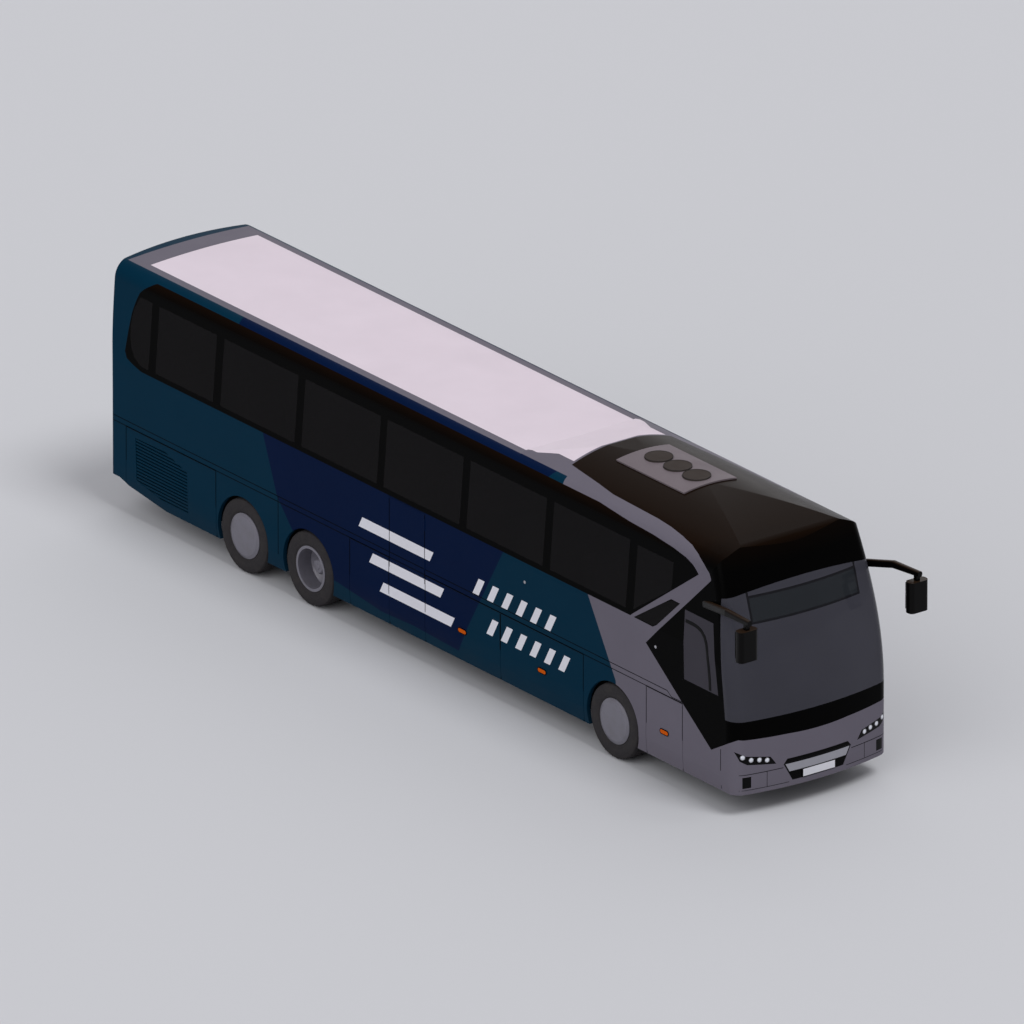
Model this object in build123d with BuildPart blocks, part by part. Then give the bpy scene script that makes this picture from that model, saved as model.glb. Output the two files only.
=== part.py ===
"""Three-axle touring coach, right-hand drive.

Millimetres. +X forward, +Y to the left, +Z up. The origin is on the ground, under the middle of
the overall box. Stations along the coach are measured from the front axle, forward positive,
and at() turns a station into X.
"""

import os
from math import asin, atan2, cos, degrees, radians, sin, sqrt, tan

from build123d import *

os.makedirs("parts", exist_ok=True)

# ---------------------------------------------------------------- driving dimensions
DRIVE_AXLE = -6600.0
TAG_AXLE = -8040.0

HALF_WIDTH = 1275.0
WALL = 60.0
SKIRT_Z = 316.0
TUCK_IN = 18.0
TUCK_TOP_Z = 520.0
BELT_Z = 1273.0
WAIST_Z = 2140.0
CANT_Z = 3421.0
LEAN = 4.6
COVE_RADIUS = 250.0
ROOF_EDGE_Y = 1000.0
ROOF_CROWN_Z = 3519.0
DOME_CROWN_Z = 3702.0
DOME_CROWN_RADIUS = 2423.0

REAR_END = -11066.0
MIRROR_END = 3089.0
HINGE_RADIUS = 9.0
FRONT_AXLE_X = -(REAR_END - HINGE_RADIUS + MIRROR_END) / 2
REAR_ARC_RADIUS = 8000.0
REAR_CORNER_RADIUS = 90.0
NOSE_END = 2750.0
NOSE_ARC_RADIUS = 5000.0
NOSE_CORNER_RADIUS = 220.0
SCREEN_Z = 1340.0
SCREEN_TILT = 3.0
SCREEN_CURVE_RADIUS = 5500.0

SHUT_GAP = 6.0
FIT = 0.3
GLASS = 8.0

TYRE_RADIUS = 522.0
TYRE_WIDTH = 295.0
RIM_RADIUS = 286.0
RIM_FLANGE_RADIUS = 314.0
WHEEL_FACE_Y = 1262.0
TWIN_SPACING = 335.0
KINGPIN_Y = 1000.0
ARCH_RADIUS = 556.0

FLOOR_Z = 1330.0
FLOOR_THICKNESS = 40.0
BAY_FLOOR_Z = 460.0
PLATE = 30.0
RAIL_Y = 475.0
RAIL_WIDTH = 90.0
RAIL_TOP_Z = 790.0
RAIL_HEIGHT = 120.0

TAN_LEAN = tan(radians(LEAN))
SKIN_Y = HALF_WIDTH - WALL


def at(station):
    """X of a station measured from the front axle."""
    return FRONT_AXLE_X + station


def side_y(z):
    """Half width of the outer skin at height z, below the cove."""
    return HALF_WIDTH - max(0.0, z - WAIST_Z) * TAN_LEAN


def nose_x(z):
    """Station of the front of the coach on the centre line at height z."""
    rise = max(0.0, z - SCREEN_Z)
    return NOSE_END - rise * tan(radians(SCREEN_TILT)) - rise**2 / (2 * SCREEN_CURVE_RADIUS)


# The cove's centre: its arc is tangent to the leaning side and to the dome's crown.
DOME_CENTRE_Z = DOME_CROWN_Z - DOME_CROWN_RADIUS


def cove_centre():
    """Centre of the arc that joins the leaning side to the dome's crown."""
    normal = (-cos(radians(LEAN)), -sin(radians(LEAN)))
    reach = DOME_CROWN_RADIUS - COVE_RADIUS
    line_y = HALF_WIDTH + COVE_RADIUS * normal[0]
    line_z = WAIST_Z + COVE_RADIUS * normal[1]
    step = (-sin(radians(LEAN)), cos(radians(LEAN)))
    dz = line_z - DOME_CENTRE_Z
    half_b = line_y * step[0] + dz * step[1]
    run = -half_b + sqrt(half_b**2 - (line_y**2 + dz**2 - reach**2))
    return line_y + run * step[0], line_z + run * step[1]


COVE_Y, COVE_Z = cove_centre()


def half_outline(inset, foot_z, dome):
    """Half of the body's cross-section, inset from the outer skin, closed by mirroring."""
    radius = COVE_RADIUS - inset
    start = LEAN
    if dome:
        end = degrees(atan2(COVE_Z - DOME_CENTRE_Z, COVE_Y))
        crown = DOME_CROWN_Z - inset
    else:
        end = degrees(atan2(sqrt(COVE_RADIUS**2 - (ROOF_EDGE_Y - COVE_Y) ** 2), ROOF_EDGE_Y - COVE_Y))
        crown = ROOF_CROWN_Z - inset
    top = (COVE_Y + radius * cos(radians(end)), COVE_Z + radius * sin(radians(end)))
    cove = CenterArc((COVE_Y, COVE_Z), radius, start, end - start)
    Polyline(
        (0, foot_z),
        (HALF_WIDTH - TUCK_IN - inset, foot_z),
        (HALF_WIDTH - inset, TUCK_TOP_Z),
        (HALF_WIDTH - inset, WAIST_Z),
        cove @ 0,
    )
    middle = (top[0] / 2, crown - (crown - top[1]) / 4)
    ThreePointArc(cove @ 1, middle, (0, crown))
    mirror(about=Plane.YZ)


def nose_half_outline(z, inset, rear_x):
    """Half of the nose's plan at height z: flared side, corner arc, front arc."""
    flare = 2.0
    front_centre = at(nose_x(z)) - NOSE_ARC_RADIUS
    corner_y = side_y(z) - NOSE_CORNER_RADIUS
    corner_x = front_centre + sqrt((NOSE_ARC_RADIUS - NOSE_CORNER_RADIUS) ** 2 - corner_y**2)
    joint = degrees(asin(corner_y / (NOSE_ARC_RADIUS - NOSE_CORNER_RADIUS)))
    corner = CenterArc((corner_x, corner_y), NOSE_CORNER_RADIUS - inset, joint, 90 - flare - joint)
    CenterArc((front_centre, 0), NOSE_ARC_RADIUS - inset, 0, joint)
    tail = corner @ 1
    flared = tail.Y + (tail.X - rear_x) * tan(radians(flare))
    Polyline(tail, (rear_x, flared), (rear_x, 0))
    mirror(about=Plane.XZ)


def body_volume(inset, foot_z):
    """The coach's closed outer form, or the same inset from the skin."""
    ramp_foot, dome_rear = at(-2330), at(-1480)
    nose_rear = at(1000)
    low, high = foot_z - 1, DOME_CROWN_Z + 100
    with BuildPart() as rear:
        with BuildSketch(Plane.YZ.offset(at(REAR_END))):
            with BuildLine():
                half_outline(inset, foot_z, dome=False)
            make_face()
        extrude(amount=nose_rear - at(REAR_END))
        with BuildSketch(Plane.XY.offset(low)):
            with BuildLine():
                back = at(REAR_END) + inset
                corner = REAR_CORNER_RADIUS - inset
                side = HALF_WIDTH - inset + 1
                sag = back + REAR_ARC_RADIUS - sqrt(REAR_ARC_RADIUS**2 - side**2)
                arc = ThreePointArc((sag, side), (back, 0), (sag, -side))
                Polyline(arc @ 1, (nose_rear + 1, -side), (nose_rear + 1, side), arc @ 0)
            make_face()
            if corner > 1:
                fillet(vertices().group_by(Axis.X)[0], corner)
        extrude(amount=high - low, mode=Mode.INTERSECT)
    with BuildPart() as dome:
        with BuildSketch(Plane.YZ.offset(ramp_foot)):
            with BuildLine():
                half_outline(inset, foot_z, dome=True)
            make_face()
        extrude(amount=at(NOSE_END) + 200 - ramp_foot)
        with BuildSketch(Plane.XZ.offset(-HALF_WIDTH - 50)):
            with BuildLine():
                crest, brow = at(300), at(2065)
                drop_radius, brow_radius = 12000.0, 250.0
                brow_z = DOME_CROWN_Z - (brow - crest) ** 2 / (2 * drop_radius)
                slope = degrees(asin((brow - crest) / drop_radius))
                down, back = inset, inset * 0.75
                middle_z = DOME_CROWN_Z - (brow - crest) ** 2 / (8 * drop_radius)
                fall = ThreePointArc(
                    (crest - back, DOME_CROWN_Z - down),
                    ((crest + brow) / 2 - back, middle_z - down),
                    (brow - back, brow_z - down),
                )
                head = JernArc(fall @ 1, fall % 1, brow_radius, slope - 80)
                Polyline(
                    head @ 1,
                    (at(NOSE_END) + 300, (head @ 1).Y - 900),
                    (at(NOSE_END) + 300, low),
                    (ramp_foot - 1, low),
                    (ramp_foot - 1, ROOF_CROWN_Z - 6 - down),
                    (dome_rear - back / 3, DOME_CROWN_Z - 12 - down),
                    (dome_rear + 430 - back, DOME_CROWN_Z - down),
                    fall @ 0,
                )
            make_face()
        extrude(amount=2 * (HALF_WIDTH + 50), mode=Mode.INTERSECT)
    with BuildPart() as nose:
        with BuildSketch(Plane.XY.offset(low)):
            with BuildLine():
                nose_half_outline(SCREEN_Z, inset, ramp_foot - 50)
            make_face()
        extrude(amount=SCREEN_Z - low)
        for level in (SCREEN_Z, 1950.0, 2550.0, 3100.0, 3450.0, 3820.0):
            with BuildSketch(Plane.XY.offset(level)):
                with BuildLine():
                    nose_half_outline(level, inset, ramp_foot - 50)
                make_face()
        loft()
    return rear.part + (dome.part & nose.part)


# ---------------------------------------------------------------- tools for cutting and splitting
def block(x, y, z, inset=0.0):
    """A box from three ranges, x as stations, each face drawn in by inset."""
    middle = Pos(at((x[0] + x[1]) / 2), (y[0] + y[1]) / 2, (z[0] + z[1]) / 2)
    long, wide, high = (ends[1] - ends[0] - 2 * inset for ends in (x, y, z))
    return middle * Box(long, wide, high, mode=Mode.PRIVATE)


def side_prism(points, y, gap=0.0):
    """A prism across the coach from (station, z) points, its edges drawn in by gap."""
    with BuildPart() as prism:
        with BuildSketch(Plane.XZ.offset(-y[1])):
            with BuildLine():
                Polyline([(at(x), z) for x, z in points], close=True)
            make_face()
            if gap:
                offset(amount=-gap, kind=Kind.INTERSECTION)
        extrude(amount=y[1] - y[0])
    return prism.part


def front_prism(points, x, gap=0.0):
    """A prism along the coach from (y, z) points, its edges drawn in by gap."""
    with BuildPart() as prism:
        with BuildSketch(Plane.YZ.offset(at(x[0]))):
            with BuildLine():
                Polyline(points, close=True)
            make_face()
            if gap:
                offset(amount=-gap, kind=Kind.INTERSECTION)
        extrude(amount=x[1] - x[0])
    return prism.part


def write(piece, name):
    """Label a finished piece and write its STEP file."""
    piece.label = name
    export_step(piece, f"parts/{name}.step")


OUT_Y = HALF_WIDTH + 40
RIGHT, LEFT = (-OUT_Y, -900.0), (900.0, OUT_Y)
BOTH = (-OUT_Y, OUT_Y)
LOW_Z, HIGH_Z = SKIRT_Z - 120, DOME_CROWN_Z + 120
BACK_X, FORE_X = REAR_END - 50, NOSE_END + 100
CORNER_X = 2323.0
REAR_SEAM = -10625.0
DOME_REAR = -1480.0
ROOF_SEAM_Y = 700.0

# ---------------------------------------------------------------- the shell of the body
departure = side_prism(
    [(-9748, LOW_Z), (-9748, SKIRT_Z), (-10570, 427), (-10770, 491), (BACK_X, 491), (BACK_X, LOW_Z)], BOTH
)
OUTER = body_volume(0, SKIRT_Z) - departure
INNER = body_volume(WALL, SKIRT_Z - 100)
GLASS_BACK = body_volume(GLASS, SKIRT_Z - 100)
SHELL = OUTER - INNER

# ---------------------------------------------------------------- openings in the walls
GLASS_LOW, GLASS_HIGH = 2223.0, 3162.0
# Side panes behind the front one: rear and front station of the clear edge.
PANES = [
    (-9972.0, -8706.0),
    (-8541.0, -6914.0),
    (-6758.0, -5114.0),
    (-4967.0, -3316.0),
    (-3162.0, -1520.0),
    (-1360.0, 267.0),
]
REAR_QUARTER = [
    (-10130, GLASS_LOW), (-10300, GLASS_LOW), (-10440, 2300), (-10530, 2420), (-10563, 2560),
    (-10566, 2740), (-10520, 2960), (-10400, GLASS_HIGH), (-10130, GLASS_HIGH),
]
FRONT_PANE = [(430, GLASS_LOW + 25), (1190, 2768), (1197, 3140), (430, 3140)]
STRIPE_PANE = [(470, 2160), (850, 2160), (934, 2200), (1375, 2625), (1200, 2625)]
DRIVER_PANE = [(1530, 1630), (1499, 2590), (2100, 2590), (2255, 1630)]
DOOR_PANE = [(1240, 1150), (1240, 2440), (2010, 2440), (2010, 1150)]
REAR_PANE = [(-960, 2260), (-960, 3060), (960, 3060), (960, 2260)]
DOOR = (1150.0, 2100.0, 330.0, 2560.0)
EMERGENCY = (-4834.0, -4055.0, WAIST_Z)
LID = (920.0, 620.0, 1900.0)


def pane_prisms(y, extra, gap):
    """Prisms through one side wall for its windows; gap narrows them for the glass itself."""
    prisms = [block((low + gap, high - gap), y, (GLASS_LOW + gap, GLASS_HIGH - gap)) for low, high in PANES]
    prisms += [side_prism(points, y, gap) for points in [REAR_QUARTER, FRONT_PANE] + extra]
    return prisms


def screen_prism(gap):
    """The windscreen's opening: a front outline, behind which the side edge leans back."""
    low, side_high, top = SCREEN_Z + gap, 2932.0 - gap, 3068.0 - gap
    with BuildPart() as prism:
        with BuildSketch(Plane.YZ.offset(at(1900))):
            with BuildLine():
                arc = ThreePointArc((OUT_Y, side_high), (0, top), (-OUT_Y, side_high))
                Polyline(arc @ 1, (-OUT_Y, low), (OUT_Y, low), arc @ 0)
            make_face()
        extrude(amount=FORE_X - 1900)
    edge = side_prism([(2421 + gap, 1200), (2185 + gap, 3100), (FORE_X, 3100), (FORE_X, 1200)], BOTH)
    return prism.part & edge


def arch(axle, radius, y):
    """A cylinder across the coach on an axle's line: a wheel arch or a shaft."""
    centre = Plane(origin=(at(axle), y[0], TYRE_RADIUS), x_dir=(1, 0, 0), z_dir=(0, 1, 0))
    return centre * Cylinder(
        radius, y[1] - y[0], align=(Align.CENTER, Align.CENTER, Align.MIN), mode=Mode.PRIVATE
    )


# The entrance well inside the passenger door: x stations, inner y and floor.
WELL_X = (1100.0, 2150.0)
WELL_Y = 520.0
WELL_Z = 430.0
# Flaps hinged at their top edge: name, side, rear station, front station, top z.
FLAPS = [
    ("engine_flap_right", RIGHT, -10625.0, -8629.0, BELT_Z),
    ("service_flap_right", RIGHT, -5699.0, -4834.0, BELT_Z),
    ("luggage_flap_right_rear", RIGHT, -4055.0, -2420.0, BELT_Z),
    ("luggage_flap_right_front", RIGHT, -2420.0, -624.0, BELT_Z),
    ("front_flap_right", RIGHT, 716.0, 1499.0, BELT_Z),
    ("luggage_flap_left_rear", LEFT, -5699.0, -4055.0, BELT_Z),
    ("luggage_flap_left_middle", LEFT, -4055.0, -2420.0, BELT_Z),
    ("luggage_flap_left_front", LEFT, -2420.0, -624.0, BELT_Z),
]
HALF_GAP = SHUT_GAP / 2


def flap_block(side, low_x, high_x, top_z, gap):
    """The space a flap fills when shut, wider than it by a negative gap."""
    return block((low_x + gap, high_x - gap), side, (LOW_Z, top_z - gap))


def hinge_rod(side, low_x, high_x, z, slack=0.0):
    """A flap's hinge bead along its top edge, or with slack the groove that it turns in."""
    skin = HALF_WIDTH * (1 if side == LEFT else -1)
    rod = Cylinder(HINGE_RADIUS + slack, high_x - low_x, rotation=(0, 90, 0), mode=Mode.PRIVATE)
    return Pos(at((low_x + high_x) / 2), skin, z) * rod


def door_pin(z, slack=0.0):
    """A hinge pin that the side holds at the emergency door's edge, or with slack the leaf's groove."""
    pin = Cylinder(HINGE_RADIUS + slack, z[1] - z[0], mode=Mode.PRIVATE)
    return Pos(at(EMERGENCY[1] - HALF_GAP), -HALF_WIDTH, (z[0] + z[1]) / 2) * pin


def lid_pin(y, slack=0.0):
    """An engine lid's hinge pin on its top edge, or with slack the groove that it turns in."""
    pin = Cylinder(HINGE_RADIUS + slack, y[1] - y[0], rotation=(90, 0, 0), mode=Mode.PRIVATE)
    return Pos(at(REAR_END), (y[0] + y[1]) / 2, LID[2] - HALF_GAP) * pin


DOOR_PINS = [(1340.0, 1500.0), (1900.0, 2060.0)]
LID_PINS = [(-280.0, -100.0), (100.0, 280.0)]
hinge_grooves = [hinge_rod(side, low, high, top - HALF_GAP, FIT) for _, side, low, high, top in FLAPS]
flap_holes = [flap_block(side, low, high, top, -HALF_GAP) for _, side, low, high, top in FLAPS]
flap_holes.append(flap_block(RIGHT, *EMERGENCY, -HALF_GAP))
arches = [arch(axle, ARCH_RADIUS, BOTH) for axle in (0, DRIVE_AXLE, TAG_AXLE)]
door_hole = block(DOOR[:2], LEFT, (LOW_Z, DOOR[3]))

# ---------------------------------------------------------------- side walls
above_cant = side_prism(
    [(BACK_X, CANT_Z), (722, CANT_Z), (1500, 3290), (1719, 3160), (2185, 2945), (FORE_X, 2945),
     (FORE_X, HIGH_Z), (BACK_X, HIGH_Z)], BOTH
)
mask_space = block((CORNER_X, FORE_X), BOTH, (LOW_Z, SCREEN_Z))
rear_space = block((BACK_X, REAR_SEAM), BOTH, (LOW_Z, CANT_Z))
LOWER_SHELL = SHELL - above_cant - mask_space - rear_space

with BuildPart() as side_wall_right:
    add(LOWER_SHELL & block((BACK_X, FORE_X), (-OUT_Y, 0), (LOW_Z, HIGH_Z)))
    add(flap_holes + arches + pane_prisms(RIGHT, [STRIPE_PANE, DRIVER_PANE], 0), mode=Mode.SUBTRACT)
    add(hinge_grooves, mode=Mode.SUBTRACT)
    add(screen_prism(0), mode=Mode.SUBTRACT)
    add([door_pin(z) for z in DOOR_PINS])
write(side_wall_right.part, "side_wall_right")

with BuildPart() as side_wall_left:
    add(LOWER_SHELL & block((BACK_X, FORE_X), (0, OUT_Y), (LOW_Z, HIGH_Z)))
    add(flap_holes + arches + pane_prisms(LEFT, [], 0), mode=Mode.SUBTRACT)
    add(hinge_grooves, mode=Mode.SUBTRACT)
    add(screen_prism(0), mode=Mode.SUBTRACT)
    add(door_hole, mode=Mode.SUBTRACT)
write(side_wall_left.part, "side_wall_left")

# ---------------------------------------------------------------- roof, dome and the two ends
roof_shell = SHELL & above_cant
with BuildPart() as roof:
    # The centre skin and the two shoulders, apart by the seams between them.
    for y in ((-OUT_Y, -ROOF_SEAM_Y), (-ROOF_SEAM_Y, ROOF_SEAM_Y), (ROOF_SEAM_Y, OUT_Y)):
        add(roof_shell & block((BACK_X, DOME_REAR), y, (LOW_Z, HIGH_Z), FIT / 2))
write(roof.part, "roof")

with BuildPart() as front_dome:
    add(roof_shell)
    add(block((DOME_REAR, FORE_X), BOTH, (LOW_Z, HIGH_Z)), mode=Mode.INTERSECT)
    add(screen_prism(0), mode=Mode.SUBTRACT)
write(front_dome.part, "front_dome")

BUMPER_Z = 590.0
GRILLE = [(-498, 707), (498, 707), (554, 639), (417, 390), (-417, 390), (-554, 639)]
GRILLE_BAR = [(-527, 634), (527, 634), (464, 521), (-464, 521)]
HEADLAMP = [(1236, 927), (1106, 855), (750, 789), (664, 672), (1086, 731), (1180, 792)]
FOG_LAMP = [(1029, 405), (1029, 560), (1150, 560), (1150, 405)]
TAIL_LAMP = [(1020, 700), (1020, 1500), (1180, 1500), (1180, 700)]


def mirrored(points):
    """The same outline on the other side of the coach."""
    return [(-y, z) for y, z in points]


def lamp_prisms(outlines, x, gap):
    """Prisms through an end of the coach for its lamps, on both sides."""
    both = outlines + [mirrored(points) for points in outlines]
    return [front_prism(points, x, gap) for points in both]


NOSE_SPAN = (CORNER_X, FORE_X)
grille_hole = front_prism(GRILLE, NOSE_SPAN)
front_lamp_holes = lamp_prisms([HEADLAMP, FOG_LAMP], NOSE_SPAN, 0)
mask_shell = SHELL & mask_space

with BuildPart() as front_panel:
    add(mask_shell & block((CORNER_X, FORE_X), BOTH, (BUMPER_Z, HIGH_Z)))
    add(front_lamp_holes + [grille_hole], mode=Mode.SUBTRACT)
write(front_panel.part, "front_panel")

with BuildPart() as front_bumper:
    add(mask_shell & block((CORNER_X, FORE_X), BOTH, (LOW_Z, BUMPER_Z)))
    add(front_lamp_holes + [grille_hole], mode=Mode.SUBTRACT)
write(front_bumper.part, "front_bumper")

with BuildPart() as front_grille:
    add((GLASS_BACK - INNER) & front_prism(GRILLE, NOSE_SPAN, FIT))
    add(SHELL & front_prism(GRILLE_BAR, NOSE_SPAN))
write(front_grille.part, "front_grille")

REAR_SPAN = (BACK_X, -10800.0)
tail_holes = lamp_prisms([TAIL_LAMP], REAR_SPAN, 0)
lid_y, lid_low, lid_high = LID
lid_outline = [(-lid_y, lid_low), (-lid_y, lid_high), (lid_y, lid_high), (lid_y, lid_low)]
with BuildPart() as rear_wall:
    add(SHELL & rear_space)
    add(tail_holes + [front_prism(REAR_PANE, REAR_SPAN)], mode=Mode.SUBTRACT)
    add(front_prism(lid_outline, REAR_SPAN, -HALF_GAP), mode=Mode.SUBTRACT)
    add(flap_holes + [lid_pin((low - 1, high + 1), FIT) for low, high in LID_PINS], mode=Mode.SUBTRACT)
write(rear_wall.part, "rear_wall")

with BuildPart() as engine_lid:
    add(SHELL & front_prism(lid_outline, REAR_SPAN, HALF_GAP))
    add([lid_pin(y) for y in LID_PINS])
write(engine_lid.part, "engine_lid")

with BuildPart() as lamps:
    for prism in lamp_prisms([HEADLAMP, FOG_LAMP], NOSE_SPAN, FIT) + lamp_prisms([TAIL_LAMP], REAR_SPAN, FIT):
        add(SHELL & prism)
write(lamps.part, "lamps")

# ---------------------------------------------------------------- glass
with BuildPart() as windscreen:
    add((OUTER - GLASS_BACK) & screen_prism(FIT))
write(windscreen.part, "windscreen")

glass_skin = OUTER - GLASS_BACK
glass_prisms = pane_prisms(RIGHT, [STRIPE_PANE, DRIVER_PANE], FIT) + pane_prisms(LEFT, [DOOR_PANE], FIT)
glass_prisms.append(front_prism(REAR_PANE, REAR_SPAN, FIT))
with BuildPart() as window_glass:
    for prism in glass_prisms:
        add(glass_skin & prism)
write(window_glass.part, "window_glass")

# ---------------------------------------------------------------- doors and flaps
DOOR_GAP = 5.0
POST_X, POST_Y, POST_RADIUS = 2122.0, 1148.0, 20.0
POST_ARMS = (700.0, 1000.0)
door_leaf_block = block((DOOR[0] + DOOR_GAP, DOOR[1] - DOOR_GAP), LEFT, (DOOR[2], DOOR[3] - DOOR_GAP))
with BuildPart() as passenger_door:
    add(SHELL & door_leaf_block)
    add(side_prism(DOOR_PANE, LEFT), mode=Mode.SUBTRACT)
    # The post that the leaf swings out on stands on the entrance well's floor.
    post = Cylinder(POST_RADIUS, DOOR[3] - WELL_Z, mode=Mode.PRIVATE)
    add(Pos(at(POST_X), POST_Y, (WELL_Z + DOOR[3]) / 2) * post)
    for z in POST_ARMS:
        add(block((DOOR[1] - 90, POST_X), (POST_Y - 12, POST_Y + 12), (z, z + 40)))
        add(block((DOOR[1] - 90, DOOR[1] - 60), (POST_Y - 12, SKIN_Y + 10), (z, z + 40)))
write(passenger_door.part, "passenger_door")

with BuildPart() as emergency_door:
    add(SHELL & flap_block(RIGHT, *EMERGENCY, HALF_GAP))
    add([door_pin((low - 1, high + 1), FIT) for low, high in DOOR_PINS], mode=Mode.SUBTRACT)
write(emergency_door.part, "emergency_door")

LOUVRE = [(-10414, 1162), (-9748, 1173), (-9273, 1032), (-9252, 437), (-9811, 450), (-10393, 565)]
LOUVRE_PITCH, LOUVRE_BLADE = 46.0, 26.0
LOUVRE_LOW_Z, BLADE_COUNT = 432.0, 17
louvre_space = side_prism(LOUVRE, (-OUT_Y, -SKIN_Y + 1))
blades = []
for i in range(BLADE_COUNT):
    z = LOUVRE_LOW_Z + i * LOUVRE_PITCH
    blades.append(block((-10430, -9230), (-HALF_WIDTH + 6, -SKIN_Y), (z, z + LOUVRE_BLADE)))

# Markers on the right flaps: station and height of the middle of each lamp.
MARKER_Z, MARKER_LENGTH, MARKER_HEIGHT, MARKER_DEPTH = 742.0, 190.0, 78.0, 8.0
MARKERS = {
    "luggage_flap_right_rear": -3240.0,
    "luggage_flap_right_front": -1516.0,
    "front_flap_right": 1111.0,
    "luggage_flap_left_middle": -3240.0,
    "luggage_flap_left_front": -1516.0,
}


def marker(station, side):
    """An oval lamp standing a little proud of the side."""
    y = (side[0] + side[1]) / abs(side[0] + side[1]) * (HALF_WIDTH + MARKER_DEPTH)
    with BuildPart() as lamp:
        with BuildSketch(Plane.XZ.offset(-y)):
            with Locations((at(station), MARKER_Z)):
                SlotOverall(MARKER_LENGTH, MARKER_HEIGHT)
        extrude(amount=MARKER_DEPTH * 2 * (1 if y > 0 else -1))
    return lamp.part


for name, side, low, high, top in FLAPS:
    with BuildPart() as flap:
        add(SHELL & flap_block(side, low, high, top, HALF_GAP))
        add(hinge_rod(side, low + HALF_GAP, high - HALF_GAP, top - HALF_GAP))
        if name == "engine_flap_right":
            add(louvre_space, mode=Mode.SUBTRACT)
            for blade in blades:
                add(blade & louvre_space)
        if name in MARKERS:
            add(marker(MARKERS[name], side))
    write(flap.part, name)

# ---------------------------------------------------------------- floors and frame
FLOOR_FRONT, FLOOR_REAR = 720.0, -10960.0
FLOOR_LOW_Z = FLOOR_Z - FLOOR_THICKNESS
STAIR = (-4870.0, -4020.0, -450.0)
with BuildPart() as saloon_floor:
    add(block((FLOOR_REAR, FLOOR_FRONT), BOTH, (FLOOR_LOW_Z, FLOOR_Z)) & INNER)
    add(block(STAIR[:2], (-OUT_Y, STAIR[2]), (LOW_Z, HIGH_Z)), mode=Mode.SUBTRACT)
write(saloon_floor.part, "saloon_floor")

BAY_REAR, BAY_FRONT = -5640.0, -690.0
DECK_Y = 1200.0
CAB_Z = 820.0
RAIL_IN, RAIL_OUT = RAIL_Y - RAIL_WIDTH / 2, RAIL_Y + RAIL_WIDTH / 2
RAIL_LOW_Z = RAIL_TOP_Z - RAIL_HEIGHT
RAIL_REAR, RAIL_FRONT = -10900.0, 2560.0
DECK = (-DECK_Y, DECK_Y)
LIFT = (BAY_FLOOR_Z, FLOOR_LOW_Z)
STEP_RISE, STEP_GOING = 290.0, 225.0

# Panels of the luggage bay and of the emergency door's stairwell: x stations, y and z ranges.
BAY_PANELS = [
    ((BAY_REAR, BAY_FRONT), DECK, (BAY_FLOOR_Z - PLATE, BAY_FLOOR_Z)),
    ((BAY_REAR, BAY_REAR + PLATE), DECK, LIFT),
    ((BAY_FRONT - PLATE, BAY_FRONT), DECK, LIFT),
    ((STAIR[0] - PLATE, STAIR[0]), (-DECK_Y, STAIR[2]), LIFT),
    ((STAIR[1], STAIR[1] + PLATE), (-DECK_Y, STAIR[2]), LIFT),
    ((STAIR[0] - PLATE, STAIR[1] + PLATE), (STAIR[2], STAIR[2] + PLATE), LIFT),
    (STAIR[:2], (STAIR[2] - 2 * STEP_GOING, STAIR[2]), (BAY_FLOOR_Z, BAY_FLOOR_Z + STEP_RISE)),
    (STAIR[:2], (STAIR[2] - STEP_GOING, STAIR[2]), (BAY_FLOOR_Z + STEP_RISE, BAY_FLOOR_Z + 2 * STEP_RISE)),
]
with BuildPart() as luggage_bay:
    for x, y, z in BAY_PANELS:
        add(block(x, y, z, FIT / 2))
write(luggage_bay.part, "luggage_bay")

# Cross members of the rails, by station of the rear face.
CROSS_MEMBERS = (-10840.0, -8900.0, -7400.0, -5900.0, -600.0, 580.0, 2440.0)
CROSS_LENGTH = 80.0
PAD_X, PAD_LENGTH, PAD_DEPTH = -10700.0, 140.0, 40.0
with BuildPart() as chassis_rails:
    for side in (-1, 1):
        y = tuple(sorted((side * RAIL_IN, side * RAIL_OUT)))
        add(block((RAIL_REAR, BAY_REAR), y, (RAIL_LOW_Z, RAIL_TOP_Z), FIT / 2))
        add(block((BAY_FRONT, RAIL_FRONT), y, (RAIL_LOW_Z, RAIL_TOP_Z), FIT / 2))
        # Jacking pad under the rail's rear end.
        add(block((PAD_X, PAD_X + PAD_LENGTH), y, (RAIL_LOW_Z - PAD_DEPTH, RAIL_LOW_Z + 1)))
    for x in CROSS_MEMBERS:
        add(block((x, x + CROSS_LENGTH), (-RAIL_IN, RAIL_IN), (RAIL_LOW_Z, RAIL_TOP_Z), FIT / 2))
write(chassis_rails.part, "chassis_rails")

# Wheelhouses: axle, radius inside the arched cover, and the ends of the inner panel.
HOUSE_Y, HOUSE_WALL = 575.0, 15.0
HOUSES = [(0.0, 640.0), (DRIVE_AXLE, 600.0), (TAG_AXLE, 600.0)]
HOUSE_PANELS = [(TAG_AXLE - 630.0, BAY_REAR), (BAY_FRONT, FLOOR_FRONT - PLATE)]
with BuildPart() as wheel_houses:
    for side in (-1, 1):
        wall = tuple(sorted((side * HOUSE_Y, side * (HOUSE_Y + HOUSE_WALL))))
        for x in HOUSE_PANELS:
            add(block(x, wall, (RAIL_TOP_Z, FLOOR_LOW_Z), FIT / 2))
        y = tuple(sorted((side * (HOUSE_Y + HOUSE_WALL + FIT), side * (DECK_Y + 5))))
        for axle, radius in HOUSES:
            cover = arch(axle, radius + HOUSE_WALL, y) - arch(axle, radius, y)
            add(cover & block((BACK_X, FORE_X), y, (TYRE_RADIUS, HIGH_Z)))
write(wheel_houses.part, "wheel_houses")

CAB_STEP, CAB_STEP_HALF = 280.0, 230.0
well_in, well_out = WELL_Y + PLATE, DECK_Y
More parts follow.
